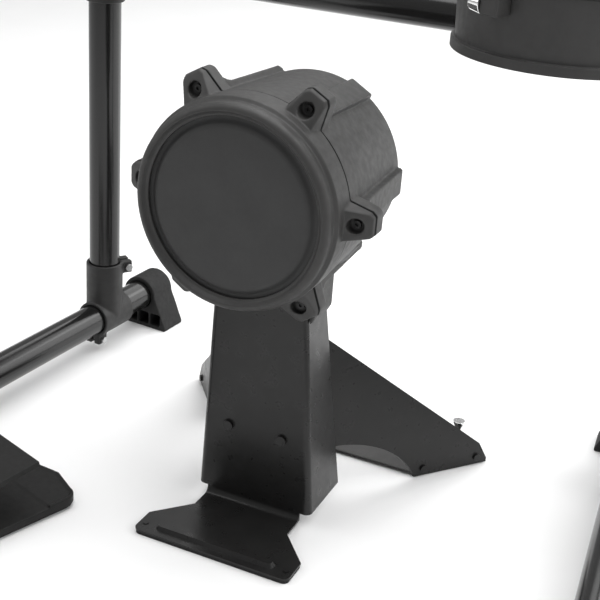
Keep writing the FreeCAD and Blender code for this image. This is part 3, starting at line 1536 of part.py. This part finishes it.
def pedal_hinge_pieces():
    wide = d.pedal_half_width
    pin = rod(d.pedal_pin_radius, wide * 2, (-wide, pedal_hinge, d.pedal_hinge_height), ALONG_X)
    keep("pedal_pin", in_pedal(group(pin)))
    coil_half = d.pedal_spring_half
    coil_spot = (-coil_half, pedal_hinge, d.pedal_hinge_height)
    coil = cut(
        rod(d.pedal_spring_radius, coil_half * 2, coil_spot, ALONG_X),
        rod(d.pedal_pin_radius + d.sleeve_gap, coil_half * 2, coil_spot, ALONG_X))
    keep("pedal_spring", in_pedal(coil))


rear_shell()
tower_column()
front_foot_rubber()
front_spurs()
rear_brace()
brace_fasteners()
rear_base()
wing_screws()
rear_spurs()
front_hoop()
kick_head()
lug_fasteners()
neck_screws()
kick_jack()
rack_tubes()
tee_fasteners()
rack_feet()
pad_clamp()
pad_arm()
pad_case()
pad_head()
pad_bracket()
pad_jack()
pedal_base()
pedal_board()
pedal_hinge_pieces()
doc.recompute()

for item in doc.Objects:
    if "Invalid" in item.State or "Error" in item.State:
        raise RuntimeError(f"{item.Name} ({item.Label}) failed: {item.State}")
    if item.TypeId in ("PartDesign::Pocket", "PartDesign::Groove"):
        if item.Shape.Volume >= item.BaseFeature.Shape.Volume:
            raise RuntimeError(f"{item.Name} cuts nothing")
for piece in PARTS:
    if piece.Shape.isNull() or not piece.Shape.isValid():
        raise RuntimeError(f"{piece.Label} has no valid shape")

os.makedirs("parts", exist_ok=True)
for piece in PARTS:
    piece.Shape.exportStep(f"parts/{piece.Label}.step")
print(len(PARTS), "sub-parts written")
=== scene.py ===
import json
import math

import bmesh
import bpy
import numpy as np
from mathutils import Matrix, Vector


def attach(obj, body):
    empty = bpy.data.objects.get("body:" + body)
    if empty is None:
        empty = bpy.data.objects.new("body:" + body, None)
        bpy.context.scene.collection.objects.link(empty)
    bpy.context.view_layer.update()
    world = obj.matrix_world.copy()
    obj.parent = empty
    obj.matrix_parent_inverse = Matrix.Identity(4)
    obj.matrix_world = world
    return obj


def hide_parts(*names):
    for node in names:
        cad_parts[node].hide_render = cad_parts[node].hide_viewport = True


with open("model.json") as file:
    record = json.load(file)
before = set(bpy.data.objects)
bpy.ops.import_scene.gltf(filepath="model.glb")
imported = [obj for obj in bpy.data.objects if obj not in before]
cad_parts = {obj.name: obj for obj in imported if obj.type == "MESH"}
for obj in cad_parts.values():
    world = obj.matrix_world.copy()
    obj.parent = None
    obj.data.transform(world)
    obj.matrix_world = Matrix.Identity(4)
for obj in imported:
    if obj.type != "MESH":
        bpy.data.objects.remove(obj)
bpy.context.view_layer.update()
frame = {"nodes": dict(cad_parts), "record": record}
NODES = frame["nodes"]
BODIES = frame["record"]["behaviour"]["bodies"]
BODY_OF = {node: body for body, nodes in BODIES.items() for node in nodes}
SLOT_OF = {entry["node"]: entry["material_slot"] for entry in frame["record"]["subparts"]}
MM = 0.001

# The drum, in metres: its axis, the seam between hoop and shell, and the hoop's outer radius
DRUM_HEIGHT = 0.36
SEAM = -0.057
SEAM_GAP = 0.0024
SEAM_DEPTH = 0.004
COLLAR_RADIUS = 0.098
# Painted shade fills the gap and spills a little past it, more onto the shell than onto the hoop
SEAM_SHADE_SHIFT = 0.0002
SEAM_SHADE_SPILL = 0.0005
# How the rounding of the drum fades between its ears, its rings and its seam
EAR_BLEND = 0.003
RING_SHARE = 0.25
SEAM_BLEND = 0.002
# The kick head's section: radius and distance forward, with a soft edge that runs out into its flange
HEAD_PROFILE = (
    (0, 0.0855), (0.087, 0.0855), (0.087, 0.0912), (0.0815, 0.0912), (0.0797, 0.0914), (0.0783, 0.0921),
    (0.077, 0.0932), (0.0757, 0.0943), (0.074, 0.0951), (0.0718, 0.0955), (0.04, 0.0955), (0, 0.0955))
LATHE_STEPS = 180

# The pedal's base, in metres
PEDAL_TOE = (-0.2, -0.0725)
PEDAL_SLANT = 0.008
PEDAL_TURN = math.radians(-19)
PEDAL_HALF = 0.046
PEDAL_LENGTH = 0.25
PEDAL_LOW = 0.003
PEDAL_CORNER = 0.014
TOOTH_PITCH = 0.0058
TOOTH_HEIGHT = 0.0024
TOOTH_BAND = 0.004
BORDER_WIDTH = 0.006
BORDER_STEEP = 3
BORDER_HEIGHT = 0.0022
BORDER_LEVEL = 0.0125
BORDER_LEVEL_BLEND = 0.002
BORDER_END = 0.044
BORDER_END_BLEND = 0.001

# Mesh work: joined corners in millimetres, angles in degrees, and the share of faces kept
JOIN_COPY = 0.002
JOIN_LATHE = 0.001
FLAT_ANGLE = 0.4
EDGE_ANGLE = 30
LATHE_ANGLE = 50
MOULD_ANGLE = 60
KEPT_FACES = 0.35
RELAX_STEP = 0.5
# Grids and edge rounds, in millimetres
FINE_GRID = 0.8
SHELL_GRID = 0.9
FOOT_GRID = 1.0
SHEET_EDGE = 0.6
PAD_EDGE = 0.9
SCREW_EDGE = 0.35

# The colour mix node's sockets, which share their names with those of other types
MIX_UNDER = 6
MIX_OVER = 7
MIX_RESULT = 2

FLOOR_HALF = 30
WORLD_STRENGTH = 0.4
# Lights: place, aim, size and power
LIGHTS = {
    "overhead": ((0.1, 0.2, 2.6), (0, 0, 0), (2.4, 2.4), 60),
    "left": ((-2.2, -0.8, 1.6), (0, 0, 0.3), (1.2, 2.0), 14),
    "right": ((2.0, 0.5, 1.9), (0, 0, 0.3), (1.8, 2.2), 34),
    "back_right": ((1.35, 2.3, 1.15), (0, 0, 0.35), (1.8, 1.9), 26),
    "far_floor": ((0.2, 3.2, 2.6), (0.2, 3.2, 0), (4.0, 1.6), 45),
}
CAMERA_PLACE = (0.44195, -0.96571, 0.71692)
CAMERA_TURN = math.radians(23.02)
CAMERA_TIP = math.radians(24.17)
CAMERA_ROLL = math.radians(4.32)
CAMERA_LENS = 71.58
CAMERA_SENSOR = 36


# Materials


class Surface:
    """A node material with one principled shader, built up texture by texture in metres."""

    def __init__(self, name, **constants):
        self.material = bpy.data.materials.new(name)
        self.material.use_nodes = True
        self.tree = self.material.node_tree
        self.shader = self.tree.nodes["Principled BSDF"]
        self.place = self.add("ShaderNodeTexCoord").outputs["Object"]
        for socket, value in constants.items():
            self.shader.inputs[socket.replace("_", " ")].default_value = value

    def add(self, kind, **settings):
        node = self.tree.nodes.new(kind)
        for key, value in settings.items():
            setattr(node, key, value)
        return node

    def link(self, start, end):
        self.tree.links.new(start, end)

    def stretched(self, scale):
        """Coordinates that are stretched along some axes, for streaks."""
        mapping = self.add("ShaderNodeMapping")
        mapping.inputs["Scale"].default_value = scale
        self.link(self.place, mapping.inputs["Vector"])
        return mapping.outputs["Vector"]

    def noise(self, scale, detail=3.0, roughness=0.55, place=None):
        texture = self.add("ShaderNodeTexNoise")
        texture.inputs["Scale"].default_value = scale
        texture.inputs["Detail"].default_value = detail
        texture.inputs["Roughness"].default_value = roughness
        self.link(place or self.place, texture.inputs["Vector"])
        return texture.outputs["Fac"]

    def cells(self, scale):
        texture = self.add("ShaderNodeTexVoronoi")
        texture.inputs["Scale"].default_value = scale
        self.link(self.place, texture.inputs["Vector"])
        return texture.outputs["Distance"]

    def spread(self, value, low, high, lowest=0.3, highest=0.7):
        """Maps the middle of a texture's range to a range of numbers."""
        ranged = self.add("ShaderNodeMapRange")
        ranged.inputs["From Min"].default_value = lowest
        ranged.inputs["From Max"].default_value = highest
        ranged.inputs["To Min"].default_value = low
        ranged.inputs["To Max"].default_value = high
        self.link(value, ranged.inputs["Value"])
        return ranged.outputs["Result"]

    def ramp(self, value, dark, light, lowest=0.3, highest=0.7):
        ramp = self.add("ShaderNodeValToRGB")
        ramp.color_ramp.elements[0].position = lowest
        ramp.color_ramp.elements[1].position = highest
        ramp.color_ramp.elements[0].color = (*dark, 1)
        ramp.color_ramp.elements[1].color = (*light, 1)
        self.link(value, ramp.inputs["Fac"])
        return ramp.outputs["Color"]

    def colour(self, value, dark, light, lowest=0.3, highest=0.7):
        self.link(self.ramp(value, dark, light, lowest, highest), self.shader.inputs["Base Color"])
        return self

    def overlaid(self, cover, tone):
        """Lays a second tone over the colour where its cover is high."""
        mixed = self.add("ShaderNodeMix", data_type="RGBA")
        base = self.shader.inputs["Base Color"]
        self.link(cover, mixed.inputs["Factor"])
        self.link(base.links[0].from_socket, mixed.inputs[MIX_UNDER])
        self.link(tone, mixed.inputs[MIX_OVER])
        self.link(mixed.outputs[MIX_RESULT], base)
        return self

    def painted_edge_highlight(self, edge):
        """Paints a paler tone along the edges as a highlight, broken up so that it isn't a line."""
        bent = self.add("ShaderNodeNewGeometry").outputs["Pointiness"]
        along = self.add("ShaderNodeMath", operation="MULTIPLY")
        self.link(self.spread(bent, 0, 1, lowest=0.53, highest=0.62), along.inputs[0])
        self.link(self.spread(self.noise(160, detail=4), 0, 1), along.inputs[1])
        tone = self.ramp(self.noise(500), grey(edge * 0.8), grey(edge * 1.2))
        return self.overlaid(along.outputs["Value"], tone)

    def painted_joint_shade(self, across, middle, half):
        """Paints shade on the walls of a joint that lies square to an axis."""
        parts = self.add("ShaderNodeSeparateXYZ")
        self.link(self.place, parts.inputs["Vector"])
        band = self.add("ShaderNodeMath", operation="COMPARE")
        band.inputs[1].default_value = middle
        band.inputs[2].default_value = half
        self.link(parts.outputs[across], band.inputs[0])
        # The near-black tone is painted shade, standing in for the shadow inside the seam
        tone = self.ramp(self.noise(300), grey(0.001), grey(0.003))
        return self.overlaid(band.outputs["Value"], tone)

    def rough(self, value, low, high):
        self.link(self.spread(value, low, high), self.shader.inputs["Roughness"])
        return self

    def relief(self, value, depth, strength):
        """Adds a bump of a real depth in metres on top of the bumps already there."""
        bump = self.add("ShaderNodeBump")
        bump.inputs["Distance"].default_value = depth
        bump.inputs["Strength"].default_value = strength
        self.link(value, bump.inputs["Height"])
        normal = self.shader.inputs["Normal"]
        if normal.is_linked:
            self.link(normal.links[0].from_socket, bump.inputs["Normal"])
        self.link(bump.outputs["Normal"], normal)
        return self


def grey(level, warm=0.0):
    return level * (1 + warm), level, level * (1 - warm)


def moulded_plastic(name, level, fine=1500, depth=0.00005, low=0.48, high=0.62, shine=0.45):
    """Moulded plastic with a fine spark-eroded grain, faint flow marks and paler edges, a painted highlight.
    """
    surface = Surface(name, Specular_IOR_Level=shine)
    surface.colour(surface.noise(22, detail=4), grey(level * 0.86, warm=0.02), grey(level * 1.14, warm=0.02))
    # Paler tone along the edges: a painted highlight
    surface.painted_edge_highlight(level * 1.7)
    surface.rough(surface.noise(140, detail=4), low, high)
    surface.relief(surface.noise(fine, detail=3, roughness=0.6), depth, strength=0.55)
    return surface.relief(surface.noise(9, detail=2), depth=0.0004, strength=0.25)


def powder_coat(name, level, low=0.26, high=0.36, peel=420, shine=0.32):
    """Powder coat on sheet: faint orange peel, and slight changes of tone and sheen."""
    surface = Surface(name, Specular_IOR_Level=shine)
    tones = surface.noise(35, detail=2, roughness=0.5)
    surface.colour(tones, grey(level * 0.92, warm=0.015), grey(level * 1.08, warm=0.015))
    surface.rough(surface.noise(80, detail=2), low, high)
    surface.relief(surface.noise(peel, detail=2, roughness=0.45), depth=0.00006, strength=0.08)
    return surface.material


def coated_tube(name, level, along):
    """Satin coat on drawn tube, with faint streaks along it."""
    surface = Surface(name)
    scale = [1.0, 1.0, 1.0]
    scale[along] = 0.04
    streaks = surface.stretched(scale)
    tones = surface.noise(180, detail=4, roughness=0.6, place=streaks)
    surface.colour(tones, grey(level * 0.9, warm=0.01), grey(level * 1.1, warm=0.01))
    surface.rough(surface.noise(120, detail=3, roughness=0.5, place=streaks), low=0.17, high=0.24)
    surface.relief(surface.noise(500, detail=2, roughness=0.45), depth=0.00004, strength=0.25)
    drawn = surface.noise(300, detail=2, roughness=0.5, place=streaks)
    return surface.relief(drawn, depth=0.00002, strength=0.2).material


def soft_rubber(name, level, low=0.62, high=0.78, grain=900, depth=0.0001):
    """Matte rubber with a skin of tiny pores."""
    surface = Surface(name, Specular_IOR_Level=0.35)
    surface.colour(surface.noise(30, detail=4), grey(level * 0.92), grey(level * 1.08))
    surface.rough(surface.noise(200, detail=3), low, high)
    return surface.relief(surface.noise(grain, detail=3, roughness=0.6), depth, strength=0.4).material


def plated(name, level, low, high, along=(1, 1, 1), scale=900):
    """Plated or brushed metal with fine marks."""
    surface = Surface(name, Metallic=1.0)
    marks = surface.stretched(along)
    surface.colour(surface.noise(60, detail=3), grey(level * 0.93), grey(level))
    surface.rough(surface.noise(scale, detail=3, roughness=0.5, place=marks), low, high)
    brushed = surface.noise(scale, detail=2, roughness=0.5, place=marks)
    return surface.relief(brushed, depth=0.00002, strength=0.25).material


def open_foam(name, level):
    """Open foam, its pores painted dark as shade in their hollows."""
    surface = Surface(name, Roughness=0.95, Specular_IOR_Level=0.15)
    pores = surface.cells(700)
    # The darker pores are painted shade in the hollows that the bump makes
    surface.colour(pores, grey(level * 0.4), grey(level * 1.3), lowest=0.05, highest=0.7)
    return surface.relief(pores, depth=0.0006, strength=0.9).material


def sensor_brass(name):
    """Thin brass disc, a little tarnished."""
    surface = Surface(name, Metallic=1.0)
    surface.colour(surface.noise(120, detail=4), dark=(0.62, 0.44, 0.17), light=(0.78, 0.6, 0.28))
    surface.rough(surface.noise(300, detail=3), low=0.22, high=0.4)
    return surface.relief(surface.noise(700, detail=2), depth=0.00003, strength=0.3).material


def drum_plastic(name, level):
    """The drum's moulded plastic, with painted shade in the seam between hoop and shell."""
    surface = moulded_plastic(name, level)
    return surface.painted_joint_shade("Y", SEAM - SEAM_GAP / 2 + SEAM_SHADE_SHIFT, SEAM_GAP / 2 + SEAM_SHADE_SPILL).material


MATERIALS = {
    "moulded_black": moulded_plastic("moulded_black", level=0.03).material,
    "sheet_black": powder_coat("sheet_black", level=0.014),
    "plate_grey": powder_coat("plate_grey", level=0.045, low=0.4, high=0.55),
    "tube_black": coated_tube("tube_black", level=0.008, along=2),
    "tee_black": moulded_plastic(
        "tee_black", level=0.014, fine=1900, depth=0.0001, low=0.46, high=0.6).material,
    "foot_rubber": soft_rubber("foot_rubber", level=0.012),
    "head_rubber": soft_rubber("head_rubber", level=0.036, low=0.5, high=0.6, grain=1400, depth=0.00005),
    "foam": open_foam("foam", level=0.1),
    "plate_metal": plated("plate_metal", level=0.6, low=0.25, high=0.4, along=(1, 0.1, 1)),
    "inner_board": moulded_plastic("inner_board", level=0.1).material,
    "sensor_brass": sensor_brass("sensor_brass"),
    "bright_steel": plated("bright_steel", level=0.86, low=0.06, high=0.16),
    "screw_black": powder_coat("screw_black", level=0.012, low=0.28, high=0.4, peel=900),
    "zinc_steel": plated("zinc_steel", level=0.56, low=0.24, high=0.4),
}
DRUM_BLACK = drum_plastic("drum_black", level=0.03)
PEDAL_BLACK = moulded_plastic("pedal_black", level=0.01, shine=0.25).material
TUBE_ALONG_X = coated_tube("tube_along_x", level=0.008, along=0)
TUBE_ALONG_Y = coated_tube("tube_along_y", level=0.008, along=1)


def finish_of(node):
    """A node's own finish where it has one, or else its slot's."""
    if node in ("front_hoop", "rear_shell"):
        return DRUM_BLACK
    if node in ("pedal_base", "pedal_board"):
        return PEDAL_BLACK
    if node == "cross_bar":
        return TUBE_ALONG_X
    if node.endswith("floor_tube"):
        return TUBE_ALONG_Y
    return MATERIALS[SLOT_OF[node]]


# Pieces


def mesh_from(work, name):
    mesh = bpy.data.meshes.new(name)
    work.to_mesh(mesh)
    work.free()
    return mesh


def clean_copy(node):
    """A copy of a solid's mesh with its split corners joined and its flat faces made whole."""
    work = bmesh.new()
    work.from_mesh(NODES[node].data)
    bmesh.ops.remove_doubles(work, verts=work.verts, dist=JOIN_COPY * MM)
    bmesh.ops.dissolve_limit(work, angle_limit=math.radians(FLAT_ANGLE), verts=work.verts, edges=work.edges)
    return mesh_from(work, f"{node}_dressed")


def in_scene(name, data):
    thing = bpy.data.objects.new(name, data)
    bpy.context.scene.collection.objects.link(thing)
    return thing


def new_piece(node, mesh):
    return in_scene(f"{node}_dressed", mesh)


def settled(thing):
    """Applies a piece's modifiers to its mesh."""
    bpy.context.view_layer.update()
    shown = thing.evaluated_get(bpy.context.evaluated_depsgraph_get())
    shaped = bpy.data.meshes.new_from_object(shown)
    thing.modifiers.clear()
    thing.data = shaped
    return thing


def soften(mesh, angle):
    """Shades a mesh smooth, except across edges sharper than an angle."""
    mesh.polygons.foreach_set("use_smooth", [True] * len(mesh.polygons))
    mesh.set_sharp_from_angle(angle=math.radians(angle))


def coat(node, thing):
    thing.data.materials.clear()
    thing.data.materials.append(finish_of(node))


def dress(node, thing):
    """Shows a piece in place of a solid, in the solid's finish and moving with its body."""
    coat(node, thing)
    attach(thing, BODY_OF[node])
    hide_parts(node)


def edged(node, width, segments=2):
    """Breaks a solid's sharp edges by a small round and keeps its flat faces flat."""
    thing = new_piece(node, clean_copy(node))
    soften(thing.data, EDGE_ANGLE)
    bevel = thing.modifiers.new("edges", "BEVEL")
    bevel.width = width * MM
    bevel.segments = segments
    bevel.limit_method = "ANGLE"
    bevel.angle_limit = math.radians(EDGE_ANGLE)
    bevel.use_clamp_overlap = True
    flat = thing.modifiers.new("flat", "WEIGHTED_NORMAL")
    flat.keep_sharp = False
    flat.weight = 100
    dress(node, settled(thing))


def lathe(node, centre, along, profile):
    """Turns a profile of radius and distance along an axis into a closed solid."""
    work = bmesh.new()
    centre, along = Vector(centre), Vector(along)
    side = along.orthogonal().normalized()
    chain = [work.verts.new(centre + side * radius + along * reach) for radius, reach in profile]
    edges = [work.edges.new(pair) for pair in zip(chain, chain[1:])]
    bmesh.ops.spin(
        work, geom=chain + edges, cent=centre, axis=along, angle=2 * math.pi, steps=LATHE_STEPS)
    bmesh.ops.remove_doubles(work, verts=work.verts, dist=JOIN_LATHE * MM)
    bmesh.ops.recalc_face_normals(work, faces=work.faces)
    mesh = mesh_from(work, f"{node}_dressed")
    soften(mesh, LATHE_ANGLE)
    dress(node, new_piece(node, mesh))


def points_of(mesh):
    points = np.empty(len(mesh.vertices) * 3)
    mesh.vertices.foreach_get("co", points)
    return points.reshape(-1, 3)


def relax(mesh, points, rounds, share):
    """Moves each point towards the middle of its neighbours, by its own share, to round the corners."""
    ends = np.empty(len(mesh.edges) * 2, dtype=np.int64)
    mesh.edges.foreach_get("vertices", ends)
    first, second = ends.reshape(-1, 2).T
    starts = np.concatenate([first, second])
    others = np.concatenate([second, first])
    count = len(points)
    degree = np.maximum(np.bincount(starts, minlength=count), 1)
    for _ in range(rounds):
        for axis in range(3):
            total = np.bincount(starts, weights=points[others, axis], minlength=count)
            points[:, axis] += RELAX_STEP * share * (total / degree - points[:, axis])


def moulded(node, voxel, rounds, share=None, shape=None):
    """Rounds every corner of a moulded solid, hollow ones too, as a mould does."""
    thing = new_piece(node, clean_copy(node))
    grid = thing.modifiers.new("grid", "REMESH")
    grid.mode = "VOXEL"
    grid.voxel_size = voxel * MM
    settled(thing)
    points = points_of(thing.data)
    if shape:
        shape(points)
    relax(thing.data, points, rounds, share(points) if share else 1.0)
    thing.data.vertices.foreach_set("co", points.ravel())
    fewer = thing.modifiers.new("fewer", "DECIMATE")
    fewer.ratio = KEPT_FACES
    settled(thing)
    soften(thing.data, MOULD_ANGLE)
    dress(node, thing)


def drum_radius(points):
    return np.hypot(points[:, 0], points[:, 2] - DRUM_HEIGHT)


def open_seam(points):
    """Draws the hoop's outer skin off the shell, so that a dark line runs round the drum."""
    outer = drum_radius(points) > COLLAR_RADIUS - SEAM_DEPTH
    near = outer & (points[:, 1] > SEAM - SEAM_GAP)
    points[near, 1] = SEAM - SEAM_GAP


def drum_share(points):
    """Full rounding on the drum's ears, less on its rings, and none at the seam."""
    on_ear = np.clip((drum_radius(points) - COLLAR_RADIUS) / EAR_BLEND, RING_SHARE, 1.0)
    off_seam = np.clip((np.abs(points[:, 1] - SEAM) - SEAM_GAP) / SEAM_BLEND, 0.0, 1.0)
    return on_ear * off_seam


def from_pedal_edge(wide, long):
    """Distance inside the outline of the pedal's base, which is slanted and rounded at the toe."""
    toe = -long - PEDAL_SLANT * np.clip(np.abs(wide) / (PEDAL_HALF - PEDAL_CORNER), 0, 1)
    side = PEDAL_HALF - np.abs(wide)
    past_side = np.maximum(PEDAL_CORNER - side, 0)
    past_toe = np.maximum(PEDAL_CORNER - toe, 0)
    corner = PEDAL_CORNER - np.hypot(past_side, past_toe)
    return np.minimum(np.minimum(side, long + PEDAL_LENGTH), np.minimum(toe, corner))


def pedal_edges(points):
    """Cuts teeth into the lower edge of the pedal's base and sinks its top inside a border."""
    across = points[:, 0] - PEDAL_TOE[0]
    back = points[:, 1] - PEDAL_TOE[1]
    wide = across * math.cos(PEDAL_TURN) + back * math.sin(PEDAL_TURN)
    long = back * math.cos(PEDAL_TURN) - across * math.sin(PEDAL_TURN)
    rim = np.clip(1 - from_pedal_edge(wide, long) / BORDER_WIDTH, 0, 1)
    tooth = 0.5 + 0.5 * np.cos((wide + long) * 2 * math.pi / TOOTH_PITCH)
    low = np.clip(1 - (points[:, 2] - PEDAL_LOW) / TOOTH_BAND, 0, 1)
    points[:, 2] += TOOTH_HEIGHT * tooth * low * np.clip(rim * BORDER_STEEP, 0, 1)
    on_top = np.clip((points[:, 2] - BORDER_LEVEL) / BORDER_LEVEL_BLEND, 0, 1)
    near_toe = np.clip(1 + (long + BORDER_END) / BORDER_END_BLEND, 0, 1)
    points[:, 2] -= BORDER_HEIGHT * on_top * near_toe * np.clip(2 - BORDER_STEEP * rim, 0, 1)


for node, thing in NODES.items():
    coat(node, thing)

moulded("front_hoop", FINE_GRID, rounds=9, share=drum_share, shape=open_seam)
moulded("rear_shell", SHELL_GRID, rounds=9, share=drum_share)
moulded("pedal_base", FINE_GRID, rounds=4, shape=pedal_edges)
for side in ("left", "right"):
    for tee in ("floor_tee", "bar_tee"):
        moulded(f"{side}_{tee}", FINE_GRID, rounds=9)
    for end in ("front_foot", "rear_foot"):
        moulded(f"{side}_{end}", FOOT_GRID, rounds=5)
for node in ("pad_clamp_front", "pad_clamp_rear", "pad_bracket", "pad_jack_housing"):
    moulded(node, FINE_GRID, rounds=4)
for node in ("tower_column", "rear_brace", "rear_base_plate", "pedal_board"):
    edged(node, SHEET_EDGE)
lathe("playing_pad", (0, 0, DRUM_HEIGHT), (0, -1, 0), HEAD_PROFILE)
for node in ("pad_shell", "pad_rim", "pad_head", "pad_jack"):
    edged(node, PAD_EDGE, segments=3)
for node in ("brace_bolts", "brace_nuts", "wing_screws", "lug_screws", "tee_bolts", "tee_nuts", "spur_nuts",
             "rear_spur_left", "rear_spur_right", "neck_screws", "pad_clamp_bolts", "jack_nut"):
    edged(node, SCREW_EDGE)


# Floor, light and camera


def add_floor():
    work = bmesh.new()
    bmesh.ops.create_grid(work, x_segments=2, y_segments=2, size=FLOOR_HALF)
    mesh = mesh_from(work, "floor")
    thing = in_scene("floor", mesh)
    surface = Surface("floor", Specular_IOR_Level=0.2)
    surface.colour(surface.noise(3, detail=3), grey(0.9), grey(0.92))
    surface.rough(surface.noise(40, detail=3), low=0.6, high=0.75)
    mesh.materials.append(surface.material)


def add_world():
    world = bpy.data.worlds.new("studio")
    world.use_nodes = True
    background = world.node_tree.nodes["Background"]
    background.inputs["Color"].default_value = (1, 1, 1, 1)
    background.inputs["Strength"].default_value = WORLD_STRENGTH
    bpy.context.scene.world = world
    bpy.context.scene.view_settings.view_transform = "Standard"


def add_light(name, place, aim, size, power):
    data = bpy.data.lights.new(name, "AREA")
    data.shape = "RECTANGLE"
    data.size, data.size_y = size
    data.energy = power
    thing = in_scene(name, data)
    thing.location = place
    thing.rotation_euler = (Vector(aim) - Vector(place)).to_track_quat("-Z", "Y").to_euler()


def add_camera():
    level_share = math.cos(CAMERA_TIP)
    ahead = Vector((
        -math.sin(CAMERA_TURN) * level_share, math.cos(CAMERA_TURN) * level_share, -math.sin(CAMERA_TIP)))
    level = Vector((math.cos(CAMERA_TURN), math.sin(CAMERA_TURN), 0))
    upright = level.cross(ahead)
    right = math.cos(CAMERA_ROLL) * level + math.sin(CAMERA_ROLL) * upright
    up = math.cos(CAMERA_ROLL) * upright - math.sin(CAMERA_ROLL) * level
    data = bpy.data.cameras.new("camera")
    data.sensor_width = CAMERA_SENSOR
    data.lens = CAMERA_LENS
    thing = in_scene("camera", data)
    pose = Matrix((right, up, -ahead)).transposed().to_4x4()
    pose.translation = Vector(CAMERA_PLACE)
    thing.matrix_world = pose
    bpy.context.scene.camera = thing


add_floor()
add_world()
for name, (place, aim, size, power) in LIGHTS.items():
    add_light(name, place, aim, size, power)
add_camera()
